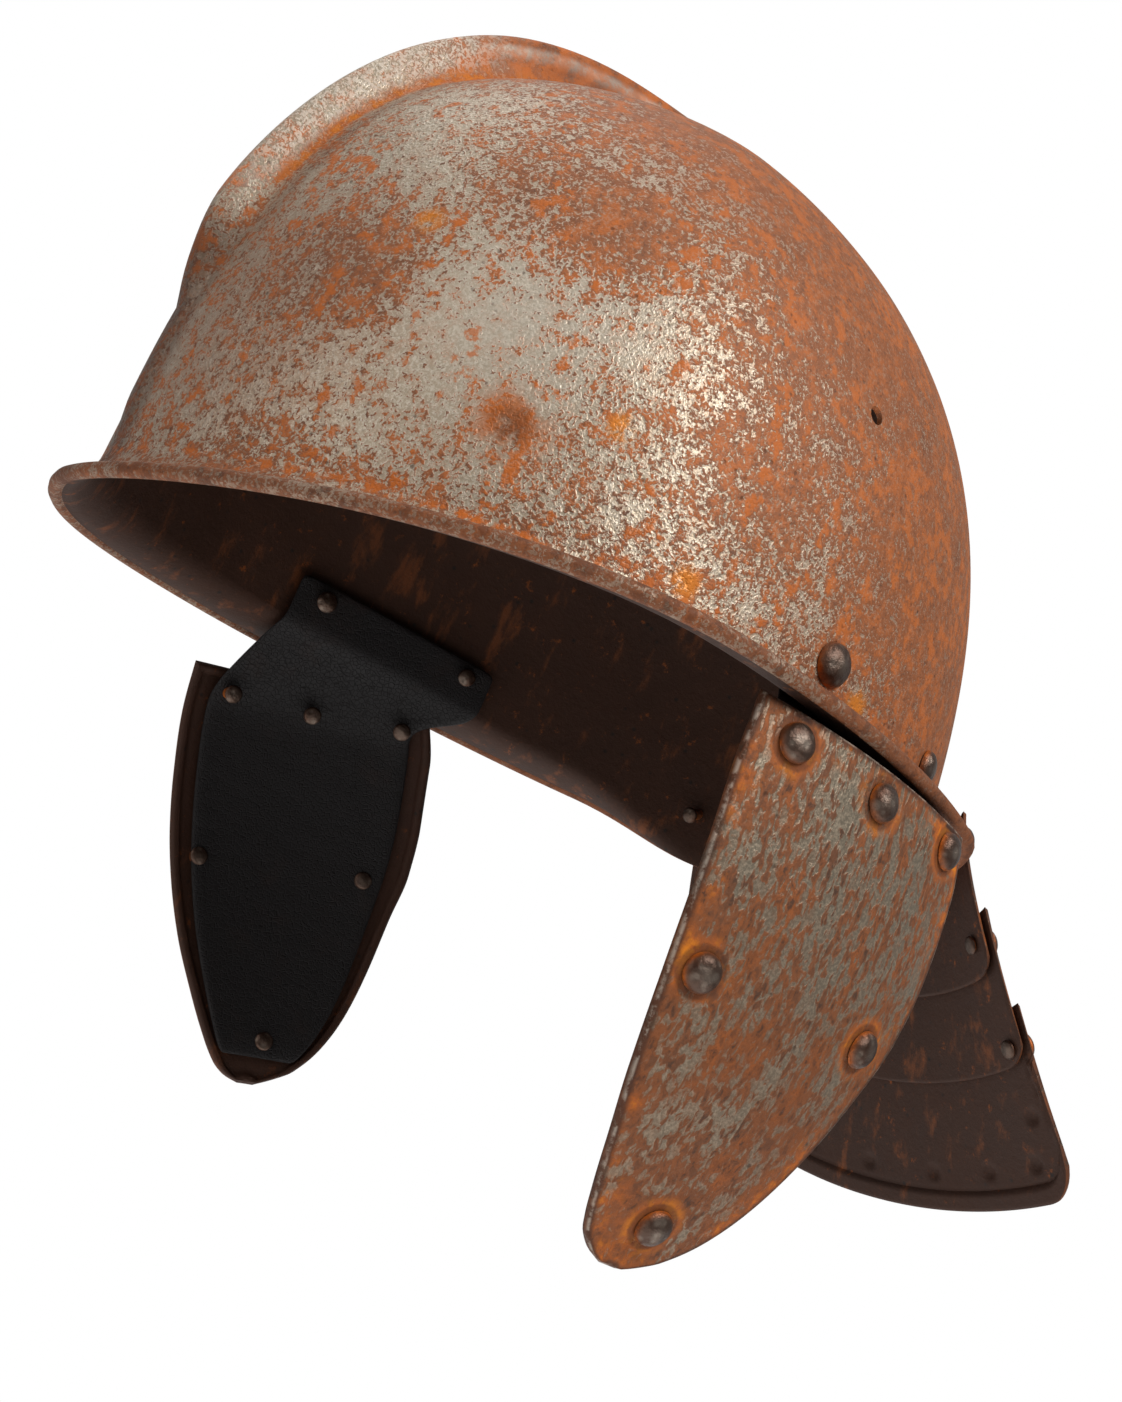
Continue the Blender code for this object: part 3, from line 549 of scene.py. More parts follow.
class Value:
    """A socket of a finish. Arithmetic on it adds Math nodes."""

    def __init__(self, finish, socket):
        self.finish = finish
        self.socket = socket

    def math(self, operation, *others, clamp=False):
        node = self.finish.node("ShaderNodeMath", dict(enumerate((self, *others))),
                                operation=operation, use_clamp=clamp)
        return Value(self.finish, node.outputs[0])

    def __add__(self, other):
        return self.math("ADD", other)

    def __sub__(self, other):
        return self.math("SUBTRACT", other)

    def __rsub__(self, other):
        return (self * -1.0) + other

    def __mul__(self, other):
        return self.math("MULTIPLY", other)

    __radd__ = __add__
    __rmul__ = __mul__

    def clamped(self):
        return self.math("ADD", 0.0, clamp=True)

    def step(self, low, high):
        """Rises smoothly from 0 at low to 1 at high, or falls if high is the smaller."""
        node = self.finish.node("ShaderNodeMapRange", {"Value": self, "From Min": low, "From Max": high},
                                interpolation_type="SMOOTHSTEP")
        return Value(self.finish, node.outputs["Result"])

    def line(self, centre, width):
        """1 where the value is at the centre, falling to 0 at the width on either side."""
        return (self - centre).math("ABSOLUTE").step(width, 0.0)


class Finish:
    """A material and the parts that its nodes are built from."""

    def __init__(self, name):
        self.material = bpy.data.materials.new(name)
        self.material.use_nodes = True
        self.tree = self.material.node_tree
        self.shader = self.tree.nodes["Principled BSDF"]
        self.place = Value(self, self.node("ShaderNodeTexCoord").outputs["Object"])
        split = self.node("ShaderNodeSeparateXYZ", {0: self.place})
        self.x, self.y, self.z = (Value(self, socket) for socket in split.outputs)

    def node(self, kind, links=None, **settings):
        made = self.tree.nodes.new(kind)
        for name, value in settings.items():
            setattr(made, name, value)
        for name, value in (links or {}).items():
            self.feed(made.inputs[name], value)
        return made

    def feed(self, socket, value):
        if isinstance(value, Value):
            self.tree.links.new(value.socket, socket)
        else:
            socket.default_value = value

    def turned(self, stretch, turn=0.0):
        """Places stretched along each axis, after a turn about X in radians."""
        node = self.node("ShaderNodeMapping", {"Vector": self.place, "Rotation": (turn, 0, 0),
                                               "Scale": stretch})
        return Value(self, node.outputs[0])

    def noise(self, size, detail=3.0, roughness=0.55, distortion=0.0, place=None):
        """Cloudy noise around 0.5 whose lumps are about the given size."""
        node = self.node("ShaderNodeTexNoise", {
            "Vector": place or self.place, "Scale": 1 / size, "Detail": detail,
            "Roughness": roughness, "Distortion": distortion})
        return Value(self, node.outputs["Fac"])

    def cells(self, size, feature="F1"):
        node = self.node("ShaderNodeTexVoronoi", {"Vector": self.place, "Scale": 1 / size},
                         feature=feature)
        return Value(self, node.outputs["Distance"])

    def kept(self, name):
        return Value(self, self.node("ShaderNodeAttribute", attribute_name=name).outputs["Fac"])

    def near(self, centre, inner, outer):
        """1 within the inner distance of a place, 0 beyond the outer."""
        node = self.node("ShaderNodeVectorMath", {0: self.place, 1: centre}, operation="DISTANCE")
        return Value(self, node.outputs["Value"]).step(outer, inner)

    def layered(self, skin, *coats):
        """Lays coats over a colour. Each is a colour and its cover, which counts from 0 to 1."""
        for colour, cover in coats:
            node = self.node("ShaderNodeMix", {0: cover, 6: skin, 7: colour}, data_type="RGBA",
                             clamp_factor=True)
            skin = Value(self, node.outputs[2])
        return skin

    def done(self, colour, roughness, metallic, height, depth, strength=0.6):
        bump = self.node("ShaderNodeBump", {"Height": height, "Distance": depth, "Strength": strength})
        for name, value in (("Base Color", colour), ("Roughness", roughness), ("Metallic", metallic),
                            ("Specular IOR Level", 0.30),
                            ("Normal", Value(self, bump.outputs["Normal"]))):
            self.feed(self.shader.inputs[name], value)
        return self.material


def mottled(f, fine, coarse, place=None):
    """Fine winding flecks of two sizes, as rust etches them into bare steel."""
    return f.noise(fine, 2.0, 0.5, 0.5, place) * 0.62 + f.noise(coarse, 3.0, 0.6, 0.3, place) * 0.38


def bowl_finish(c):
    f = Finish("bowl_rusted_steel")
    mottle = mottled(f, 0.0008, 0.0019)
    broad = f.noise(0.050, 3.0, 0.6)
    patch = f.noise(0.018, 6.0, 0.68)
    speck = f.noise(0.0040, 5.0, 0.66)
    grain = f.noise(0.0008, 3.0, 0.7)
    runs = f.noise(0.010, 5.0, 0.65, place=f.turned((1, 1, 0.24)))
    # Rust lies thick over the top and the rear, thinly on the brow and the side
    rear = (f.y * 0.8 + f.z * 0.7 + 0.062).step(-0.035, 0.058)
    foot = f.z.step(-0.126, -0.146)
    ridge = f.x.math("ABSOLUTE")
    comb = ridge.step(0.0110, 0.0050) * f.z.step(-0.085, -0.045)
    cover = rear * 0.60 + foot * 0.20 + comb * 0.15 + (patch - 0.5) * 0.9 + (broad - 0.5) * 0.6 + 0.34
    for place, reach, more in RUST_CLOUDS:
        cover = cover + f.near(place, 0.0, reach) * more
    rust = (mottle + (speck - 0.5) * 0.40 + cover * 0.26).step(0.565, 0.66)
    streak = (runs * 0.5 + speck * 0.5 + cover * 0.06).step(0.575, 0.62) * (1.0 - rear * 0.6)
    fresh = (speck * 0.6 + patch * 0.4).step(0.47, 0.60)
    tone = f.layered(c.brown_rust, (c.orange_rust, fresh * (0.62 - rear * 0.24)),
                     (c.dark_rust, mottle.step(0.56, 0.66) * 0.5 + patch.step(0.46, 0.34) * 0.3))
    pits = f.cells(0.0030).step(0.22, 0.08) * patch.step(0.42, 0.58)
    # Painted shade darkens the brow
    brow_shade = f.near(*PAINTED_BROW_SHADE)
    skin = f.layered(
        c.steel,
        (c.bright_steel, grain.step(0.40, 0.62) * 0.60),
        # Painted shade on the brow
        (c.brown_rust, brow_shade * 0.30),
        # Painted pool of light on the side of the bowl
        (c.bright_steel, f.near(*PAINTED_SIDE_LIGHT) * 0.35),
        (c.brown_rust, rear * 0.42 + cover.step(0.3, 1.3) * 0.25),
        (tone, rust * (0.92 - mottle.step(0.50, 0.43) * 0.30)),
        (c.orange_rust, streak * 0.72),
        (c.dark_rust, pits * 0.60))
    # Spots on the left side of the bowl
    amber = sum(f.near(*spot) for spot in AMBER_SPOTS)
    skin = f.layered(
        skin,
        (c.orange_rust, f.near(BLOTCH, 0.004, 0.012) * patch.step(0.42, 0.60) * 0.8),
        (c.dark_rust, f.near(BLOTCH, 0.0015, 0.0075) * speck.step(0.32, 0.56) * 0.60),
        (c.amber_rust, amber * speck.step(0.30, 0.52) * 0.85))
    # A pale band along the comb's flank is a painted highlight, with orange rust below it; painted shade
    # lies beside the comb and on the keel
    front = f.y.step(-0.044, -0.070)
    # Painted highlight along the comb's flank
    comb_flank_highlight = ridge.line(0.0042, 0.0007) * comb * (1.0 - front)
    gutter = ridge.line(0.0070, 0.0022) * f.z.step(-0.075, -0.045)
    # Painted shade beside the comb
    shade = ridge.line(0.0140, 0.0070) * f.z.step(-0.100, -0.060)
    # Painted shade on the keel at the brow
    keel = ridge.step(0.0130, 0.0020) * f.y.step(-0.060, -0.082) * f.z.step(-0.070, -0.088)
    flank = ridge.step(0.0062, 0.0048) * f.z.step(-0.080, -0.050)
    rear_flank = flank * (1.0 - front)
    dashes = flank * front * mottle.step(0.47, 0.54)
    worn = ridge.step(0.0014, 0.0004) * f.z.step(-0.075, -0.035) * speck.step(0.40, 0.55)
    skin = f.layered(
        skin,
        # Painted shade beside the comb, on the keel and on the brow
        (c.dark_rust, shade * 0.34 + keel * 0.70 + brow_shade * 0.18),
        (c.orange_rust, gutter * 0.75),
        (c.amber_rust, gutter * speck.step(0.46, 0.58) * 0.60),
        # Painted highlight on the comb's flank, worn bright metal on its ridge and bright dashes at its
        # front
        (c.bright_steel, comb_flank_highlight * 0.50 + worn * 0.50 + dashes * 0.75),
        (c.orange_rust, rear_flank * speck.step(0.36, 0.58) * 0.55),
        (c.dark_rust, rear_flank * patch.step(0.45, 0.60) * 0.35))
    # Rust gathers on the brim and in the crease above it
    rim = f.kept("rim")
    skin = f.layered(
        skin,
        (c.brown_rust, rim.step(0.05, 0.5) * (patch * 0.7 + 0.1)),
        (c.orange_rust, rim.line(0.12, 0.16) * speck.step(0.42, 0.60) * 0.75),
        (c.dark_rust, rim.step(0.80, 1.0) * (0.30 + speck.step(0.5, 0.6) * 0.4)))
    rusty = (rust * 0.75 + streak * 0.4 + rear * 0.15 + rim.step(0.1, 0.6) * 0.3).clamped()
    height = mottle * 1.2 + grain * 0.30 + rusty * 0.35 + speck * 0.35 - pits * 0.6
    return f.done(skin, rusty * 0.22 + 0.43, 0.58 - rusty * 0.46, height, 0.0005)


def cheek_finish(c):
    f = Finish("cheek_rusted_steel")
    mottle = mottled(f, 0.0014, 0.0038, f.turned((1, 1, 0.45), -0.2))
    streak = f.noise(0.0085, 5.0, 0.65, place=f.turned((1, 1, 0.30), -0.2))
    patch = f.noise(0.020, 6.0, 0.70)
    speck = f.noise(0.0040, 6.0, 0.70)
    grain = f.noise(0.0008, 3.0, 0.70)
    edge, spot = f.kept("edge"), f.kept("spot")
    border = edge.step(0.0100, 0.0015)
    ring = spot.step(0.0090, 0.0050) * patch.step(0.30, 0.56)
    low = f.z.step(-0.175, -0.235)
    cover = ((streak - 0.5) * 1.6 + (patch - 0.5) * 0.7 + (speck - 0.5) * 0.8 + border * 0.2
             + ring * 0.3 + low * 0.20 + 0.28)
    rust = (mottle + cover * 0.28).step(0.560, 0.635)
    fresh = (speck * 0.5 + streak * 0.5).step(0.50, 0.60)
    tone = f.layered(
        c.brown_rust,
        (c.orange_rust, fresh * 0.45 + border * 0.10 + ring * 0.4),
        (c.dark_rust, mottle.step(0.54, 0.62) * 0.4 + speck.step(0.51, 0.58) * 0.35 + 0.20))
    line = border * patch.step(0.46, 0.60) * speck.step(0.38, 0.56)
    pits = f.cells(0.0050).step(0.17, 0.05) * patch.step(0.46, 0.60)
    skin = f.layered(
        # The cheek steel is partly painted shade
        c.cheek_steel,
        (c.steel, grain.step(0.42, 0.62) * 0.50),
        (c.brown_rust, cover.step(0.1, 0.9) * 0.55 + low * 0.10),
        (tone, rust * 0.88),
        (c.orange_rust, line * 0.70 + ring * 0.45),
        (c.amber_rust, ring * speck.step(0.48, 0.60) * 0.7 + line * speck.step(0.52, 0.62) * 0.5),
        (c.dark_rust, edge.step(0.0026, 0.0010) * 0.80 + spot.step(0.0066, 0.0056) * 0.6),
        (c.bright_steel, edge.line(0.0006, 0.0006) * speck.step(0.44, 0.58) * 0.35),
        (c.dark_rust, pits * 0.60))
    rusty = (rust * 0.7 + line * 0.3 + ring * 0.4).clamped()
    height = mottle * 1.1 + grain * 0.30 + rusty * 0.35 + speck * 0.5 + patch * 0.8 - pits * 0.7
    return f.done(skin, rusty * 0.26 + 0.44, 0.62 - rusty * 0.48, height, 0.0006)


def inner_finish(c, name, red_share):
    """Steel of the sides that face the head, darkened as painted shade of a head that is not there."""
    f = Finish(name)
    patch = f.noise(0.018, 6.0, 0.70)
    speck = f.noise(0.0042, 6.0, 0.72)
    grain = f.noise(0.0010, 4.0, 0.7)
    long_marks = f.noise(0.0080, 5.0, 0.65, place=f.turned((1, 1, 0.35), 0.4))
    skin = f.layered(
        c.shaded_inner_steel,
        (c.dark_rust, patch * 1.2 - 0.15),
        (c.brown_rust, long_marks.step(0.54, 0.70) * red_share),
        (c.orange_rust, speck.step(0.60, 0.72) * red_share * 0.8),
        (PIT_BLACK, f.cells(0.0060).step(0.16, 0.04) * 0.8))
    return f.done(skin, patch * 0.20 + 0.58, 0.15, grain * 0.4 + speck * 0.8 + patch * 0.6, 0.0006)


def lame_finish(c):
    """The outsides of the lames: brown all over, with worn edges."""
    f = Finish("lame_rusted_steel")
    patch = f.noise(0.022, 7.0, 0.70)
    speck = f.noise(0.0044, 6.0, 0.70)
    grain = f.noise(0.0008, 3.0, 0.7)
    mottle = mottled(f, 0.0018, 0.0040)
    edge, spot = f.kept("edge"), f.kept("spot")
    brown = (mottle + (patch - 0.5) * 0.8 + 0.16).step(0.50, 0.62)
    fresh = (patch * 0.4 + speck * 0.6).step(0.55, 0.64)
    skin = f.layered(
        c.cheek_steel,
        (c.steel, grain * 0.6),
        (c.brown_rust, brown * 0.75 + 0.20),
        (c.dark_rust, patch.step(0.50, 0.36) * 0.60 + edge.step(0.0030, 0.0010) * 0.35),
        (c.orange_rust, fresh * 0.55 + edge.step(0.0110, 0.0030) * patch.step(0.45, 0.62) * 0.4),
        (c.bright_steel, spot.step(0.0026, 0.0006) * 0.30),
        (c.dark_rust, edge.step(0.0012, 0.0004) * 0.55))
    height = mottle * 1.0 + grain * 0.30 + brown * 0.3 + speck * 0.5
    return f.done(skin, brown * 0.22 + 0.42, 0.62 - brown * 0.40, height, 0.0006)


def rivet_finish(c):
    f = Finish("rivet_hammered_iron")
    facets = f.cells(0.0024, "SMOOTH_F1")
    patch = f.noise(0.0060, 6.0, 0.7)
    grain = f.noise(0.0008, 4.0, 0.7)
    base = f.kept("edge")
    skin = f.layered(
        c.rivet_iron,
        (c.dark_rust, patch.step(0.48, 0.64) * 0.8),
        (c.bright_steel, facets.step(0.40, 0.12) * 0.10 + base.step(0.60, 1.0) * 0.12),
        (c.brown_rust, base.step(0.45, 0.0) * 0.65),
        (c.orange_rust, base.step(0.30, 0.0) * patch.step(0.42, 0.58) * 0.8))
    height = facets * 1.0 + grain * 0.35 + patch * 0.7
    return f.done(skin, patch * 0.28 + 0.22, 0.85 - base.step(0.45, 0.0) * 0.5, height, 0.0007, 0.7)


def leather_finish(c):
    f = Finish("hanger_black_leather")
    pores = f.cells(0.0013, "DISTANCE_TO_EDGE").step(0.0, 0.12)
    folds = f.noise(0.014, 5.0, 0.6, place=f.turned((1, 0.5, 1.6)))
    dust = f.noise(0.030, 6.0, 0.7)
    # The near-black leather is partly painted shade
    skin = f.layered(c.leather, (c.shaded_inner_steel, dust.step(0.50, 0.72) * 0.30))
    height = pores * 0.5 + folds * 1.4 + f.noise(0.0040, 4.0, 0.6) * 0.5
    return f.done(skin, 0.72 - pores * 0.18 + dust * 0.12, 0.0, height, 0.0005)


def floor_finish(c):
    f = Finish("studio_floor")
    haze = f.noise(0.5, 2.0)
    f.feed(f.shader.inputs["Emission Color"], WHITE)
    f.feed(f.shader.inputs["Emission Strength"], FLOOR_GLOW)
    return f.done(f.layered(c.floor, (PALE_GREY, haze * 0.12)), 0.85, 0.0, haze, 0.0002, 0.1)


def finish(name, maker, *values):
    """A finish is made once and then used again by its name."""
    made = bpy.data.materials.get(name)
    return made or maker(bpy.context.scene.helmet_finishes, *values)


def inside(name, red_share):
    return finish(name, inner_finish, name, red_share)


# Bowl

def bowl_shape(s, rows, columns):
    shape = bmesh.new()
    rim = shape.verts.layers.float.new("rim")
    # Rows run over the top, and columns crowd towards the comb
    crowding = 3.2
    aside = np.sinh(crowding * np.linspace(-1, 1, columns)) / math.sinh(crowding) * math.pi / 2
    over, aside = np.meshgrid(np.linspace(0, math.pi, rows), aside, indexing="ij")
    sheets = []
    for wall in (0.0, s.plate):
        corners = laid_grid(shape, bowl_point(s, over, aside, wall))
        bmesh.ops.remove_doubles(shape, verts=corners, dist=1e-6)
        sheets.append([corner for corner in corners if corner.is_valid])
    outer, inner = sheets
    bmesh.ops.reverse_faces(shape, faces=faces_of(inner))
    edges = rim_of(outer)
    inner_edges = rim_of(inner)
    inner_faces = set(faces_of(inner))

    def ring(edges, place, mark):
        made = bmesh.ops.extrude_edge_only(shape, edges=edges)["geom"]
        corners = {item for item in made if isinstance(item, bmesh.types.BMVert)}
        for corner in corners:
            bearing = math.atan2(corner.co.x, -corner.co.y)
            reach, level = place(bearing)
            corner.co = (reach * math.sin(bearing), -reach * math.cos(bearing), level)
            corner[rim] = mark
        return [item for item in made
                if isinstance(item, bmesh.types.BMEdge) and corners.issuperset(item.verts)]

    def flare(turn, wall):
        angle = math.radians(turn)
        return lambda bearing: (
            float(plan_radius(s, bearing)) - wall + float(brim_reach(bearing)) * (1 - math.cos(angle)),
            float(crease_height(s, bearing)) - (float(brim_drop(bearing)) + wall) * math.sin(angle))

    def roll(turn):
        angle = math.radians(turn)

        def place(bearing):
            radius = ROLL_RADIUS + (TAIL_ROLL_RADIUS - ROLL_RADIUS) * float(tail_share(bearing))
            reach = float(plan_radius(s, bearing)) + float(brim_reach(bearing))
            return (reach - radius + radius * math.cos(angle),
                    float(rim_height(s, bearing)) + radius * math.sin(angle))
        return place

    for turn in FLARE_TURNS:
        edges = ring(edges, flare(turn, 0.0), turn / FLARE_TURNS[-1] * 0.9)
    for turn in ROLL_TURNS:
        edges = ring(edges, roll(turn), 1.0)
    upper = set(shape.faces) - inner_faces
    for turn in RETURN_TURNS:
        edges = ring(edges, flare(turn, s.plate), 0.5)
    bmesh.ops.bridge_loops(shape, edges=edges + inner_edges)
    for face in shape.faces:
        face.material_index = 0 if face in upper else 1
    bmesh.ops.recalc_face_normals(shape, faces=shape.faces)
    return shape


def bowl_tree(s):
    shape = bowl_shape(s, *BOWL_TREE_GRID)
    tree = BVHTree.FromBMesh(shape)
    shape.free()
    return tree


def seat(tree, point, outward):
    """Where a rivet meets the outer face, and how the face stands there."""
    direction = Vector(outward).normalized()
    hit, normal, _, _ = tree.ray_cast(Vector(point) + direction * 0.05, -direction)
    if hit is None:
        raise RuntimeError("a rivet misses its plate")
    return hit, normal if normal.dot(direction) > 0 else -normal


def facing(normal):
    return Vector((0, 0, 1)).rotation_difference(normal).to_matrix().to_4x4()


def drill_hole(piece, cutter):
    """Cuts the cutter's shape out of a piece and keeps the result as its mesh."""
    mesh = bpy.data.meshes.new("drill")
    cutter.to_mesh(mesh)
    cutter.free()
    drill = bpy.data.objects.new("drill", mesh)
    bpy.context.scene.collection.objects.link(drill)
    cut = piece.modifiers.new("hole", "BOOLEAN")
    cut.operation = "DIFFERENCE"
    cut.object = drill
    bpy.context.view_layer.update()
    made = bpy.data.meshes.new_from_object(piece.evaluated_get(bpy.context.evaluated_depsgraph_get()))
    piece.modifiers.clear()
    piece.data = made
    bpy.data.objects.remove(drill, do_unlink=True)


class HELMET_OT_bowl(bpy.types.Operator):
    """Make the bowl with its comb, flared brim and lining hole"""
    bl_idname = "helmet.bowl"
    bl_label = "Bowl"

    def execute(self, context):
        s = context.scene.helmet_sizes
        shape = bowl_shape(s, *BOWL_GRID)
        set_down(s, shape)
        piece = add_piece("bowl_steel", shape, "helmet", ["bowl"],
                          [finish("bowl_rusted_steel", bowl_finish), inside("bowl_inner_steel", 0.45)])
        height, behind = LINING_HOLE
        place, normal = seat(bowl_tree(s), (0.05, behind, height), (1, 0, 0))
        stand = Matrix.Translation(place - Vector((0, 0, crown(s)))) @ facing(normal)
        cutter = bmesh.new()
        bmesh.ops.create_cone(cutter, cap_ends=True, segments=28, radius1=LINING_HOLE_RADIUS,
                              radius2=LINING_HOLE_RADIUS, depth=0.012, matrix=stand)
        drill_hole(piece, cutter)
        return {"FINISHED"}


# Cheek plates and leather

class HELMET_OT_cheek_plates(bpy.types.Operator):
    """Make the two leaf-shaped cheek plates with their turned edges"""
    bl_idname = "helmet.cheek_plates"
    bl_label = "Cheek plates"

    def execute(self, context):
        s = context.scene.helmet_sizes
        deep, size, seed = CHEEK_WAVE
        for side, word in SIDES:
            outer = hang(s, side, cheek_points(s, *CHEEK_GRID))
            normals = grid_normals(outer)
            edge = edge_distance(outer)[2]
            bend = rounded_off(edge, CHEEK_ROUNDING)
            wave = np.abs(deep * unevenness(outer, size, seed)) * np.minimum(1, edge / CHEEK_CALM)
            turned = smooth_step(CHEEK_TURN_WIDTH + CHEEK_BEND, CHEEK_TURN_WIDTH - CHEEK_BEND, edge)
            front = outer - normals * (bend + wave)[..., None]
            back = outer - normals * (s.cheek_plate + CHEEK_TURN * turned - bend)[..., None]
            shape = closed_plate(s, front, back, edge, nearest(outer, cheek_rivet_points(s, side)))
            add_piece("cheek_steel_" + word, shape, "helmet", ["cheek_plate_" + word],
                      [finish("cheek_rusted_steel", cheek_finish), inside("cheek_inner_steel", 0.25)])
        return {"FINISHED"}


def wall_out(tree, side, behind, level):
    """How far out the bowl's inner face lies, or zero where there is none."""
    hit = tree.ray_cast(Vector((side * 0.02, behind, level)), Vector((side, 0, 0)))[0]
    return abs(hit.x) if hit else 0.0


def leather_points(s, tree, side):
    """The panel behind the plate, with the hanger that climbs into the bowl above it."""
    outer = hang(s, side, cheek_face(s, np.array(LEATHER_ROWS), np.array(LEATHER_COLUMNS)))
    stand_off = np.full((len(LEATHER_ROWS), 1, 1), s.cheek_plate + LEATHER_GAP)
    stand_off[0] += CHEEK_TURN
    panel = outer - grid_normals(outer) * stand_off
    shift = 0.0 if side > 0 else RIGHT_CHEEK_FORWARD
    climb = []
    for step in LEATHER_CLIMB:
        blend = float(smooth_step(*LEATHER_BEND, step))
        row = []
        for k, low in enumerate(panel[0]):
            share = k / (len(LEATHER_COLUMNS) - 1)
            behind = LEATHER_TAB_FRONT - shift + share * (LEATHER_TAB_REAR - LEATHER_TAB_FRONT)
            crease = float(crease_height(s, math.atan2(wall_out(tree, side, behind, 0.02), -behind)))
            level = crease + step * LEATHER_TAB_TOP
            place = low[1] + (behind - low[1]) * blend
            wall_x = wall_out(tree, side, place, max(level, crease + 0.001)) - LEATHER_GAP
            out = abs(low[0]) + (wall_x - abs(low[0])) * blend
            limit = wall_out(tree, side, place, level)
            if limit:
                out = min(out, limit - 2 * LEATHER_GAP)
            row.append((side * out, place, level))
        climb.append(row)
    return np.concatenate([np.array(climb), panel])


class HELMET_OT_leather(bpy.types.Operator):
    """Make the black leather hangers behind the cheek plates"""
    bl_idname = "helmet.leather"
    bl_label = "Leather hangers"

    def execute(self, context):
        s = context.scene.helmet_sizes
        tree = bowl_tree(s)
        for side, word in SIDES:
            front = leather_points(s, tree, side)
            back = front - grid_normals(front) * s.leather
            edge = edge_distance(front)[2]
            shape = closed_plate(s, front, back, edge, edge, back_finish=0)
            piece = add_piece("leather_" + word, shape, "helmet", ["cheek_leather_" + word],
                              [finish("hanger_black_leather", leather_finish)], 180)
            smooth = piece.modifiers.new("smooth", "SUBSURF")
            smooth.levels = smooth.render_levels = 3
        return {"FINISHED"}


# Tail

class HELMET_OT_tail(bpy.types.Operator):
    """Make the three overlapping lames behind the neck"""
    bl_idname = "helmet.tail"
    bl_label = "Tail lames"

    def execute(self, context):
        s = context.scene.helmet_sizes
        rows, columns = LAME_GRID
        share = np.linspace(-1, 1, columns)
        across = 0.25 * np.sin(share * math.pi / 2) + 0.75 * share
        begin = 1 - LAME_CORNER / s.tail_foot_half_width
        curve = np.clip((np.abs(across) - begin) / (1 - begin), 0, 1)
        steps = crowded(rows, 0.4)
        deep, size, seed = LAME_WAVE
        for index, (name, start, end) in enumerate(LAMES):
            last = index == len(LAMES) - 1
            lift = LAME_STEP * index + s.lame_plate
            corner = LAME_CORNER / s.tail_side_drop * (1.0 if last else 0.5)
            foot_line = end - corner * (1 - np.sqrt(1 - curve**2))
            down = start + steps[:, None] * (foot_line - start)[None, :]
            outer = tail_point(s, np.broadcast_to(across, down.shape), down, lift)
            normals = grid_normals(outer)
            foot, sides, edge = edge_distance(outer)
            bend = rounded_off(edge, LAME_ROUNDING)
            spot = np.full(down.shape, 1.0)
            push = deep * unevenness(outer, size, seed + index)
            wall = np.full(down.shape, s.lame_plate)
            if last:
                # Only the lower lame has bosses, and a border that turns below the lame above it
                spot = nearest(outer, [tail_point(s, np.array(x), np.array(y), lift) for x, y in BOSSES])
                push = push + BOSS_HEIGHT * smooth_step(BOSS_RADIUS, BOSS_FLAT, spot)
                border = np.minimum(foot, np.where(down > LAMES[1][2], sides, 1.0))
                turned = smooth_step(BORDER_CREASE + BORDER_BEND, BORDER_CREASE - BORDER_BEND, border)
                groove = smooth_step(0.0, GROOVE_REACH, np.abs(border - BORDER_CREASE - BORDER_BEND))
                wall = wall + LAME_TURN * turned - GROOVE_DEPTH * (1 - groove)
            front = outer + normals * (push - bend)[..., None]
            back = outer + normals * (push * (1.0 if last else 0.0) - wall + bend * 0.5)[..., None]
            word = name.rsplit("_", 1)[1]
            add_piece("lame_steel_" + word, closed_plate(s, front, back, edge, spot), "tail_" + word,
                      [name],
                      [finish("lame_rusted_steel", lame_finish), inside("lame_inner_steel", 0.50)])
        return {"FINISHED"}


# Rivets

def rivet_shape(s, place, normal, radius, grip, rise, burr, seed):
    """A domed head turned on its axis, dented a little, with a shank and a hammered end."""
    shape = bmesh.new()
    edge = shape.verts.layers.float.new("edge")
    shank = SHANK * radius
    # Distance from the axis, level, and how high on the head the place lies
    profile = []
    for k in range(11):
        angle = math.pi / 2 * (1 - k / 10)
        profile.append((radius * math.cos(angle), HEAD_GAP + rise * radius * math.sin(angle) ** 0.9,
                        1 - k / 10))
    profile += [(radius * 0.96, HEAD_GAP * 0.5, 0.0), (shank, HEAD_GAP * 0.5, 0.0), (shank, -grip, 0.0)]
    if burr:
        profile += [(burr * radius, -grip, 0.2), (burr * radius, -grip - 0.07 * radius, 0.4),
                    (0.8 * burr * radius, -grip - 0.16 * radius, 0.7)]
    profile.append((0.0, profile[-1][1] - 0.02 * radius, 0.8))
    corners = []
    for reach, level, mark in profile:
        corner = shape.verts.new((reach, 0, level))
        corner[edge] = mark
        corners.append(corner)
    edges = [shape.edges.new(pair) for pair in zip(corners, corners[1:])]
    bmesh.ops.spin(shape, geom=corners + edges, cent=(0, 0, 0), axis=(0, 0, 1), angle=2 * math.pi,
                   steps=28, use_merge=True)
    bmesh.ops.remove_doubles(shape, verts=shape.verts, dist=1e-6)
    bmesh.ops.recalc_face_normals(shape, faces=shape.faces)
    dents = unevenness(np.array([corner.co[:] for corner in shape.verts]), radius * 1.3, seed)
    for corner, dent in zip(shape.verts, dents):
        if corner.co.z > HEAD_GAP * 2:
            corner.co *= 1 - 0.045 * abs(dent)
    shape.transform(Matrix.Translation(place) @ facing(normal))
    set_down(s, shape)
    return shape


def add_rivet(s, node, body, place, radius, grip, seed, rise=0.62, burr=BURR):
    shape = rivet_shape(s, *place, radius, grip, rise, burr, seed)
    add_piece("iron_" + node, shape, body, [node],
              [finish("rivet_hammered_iron", rivet_finish)], 60)


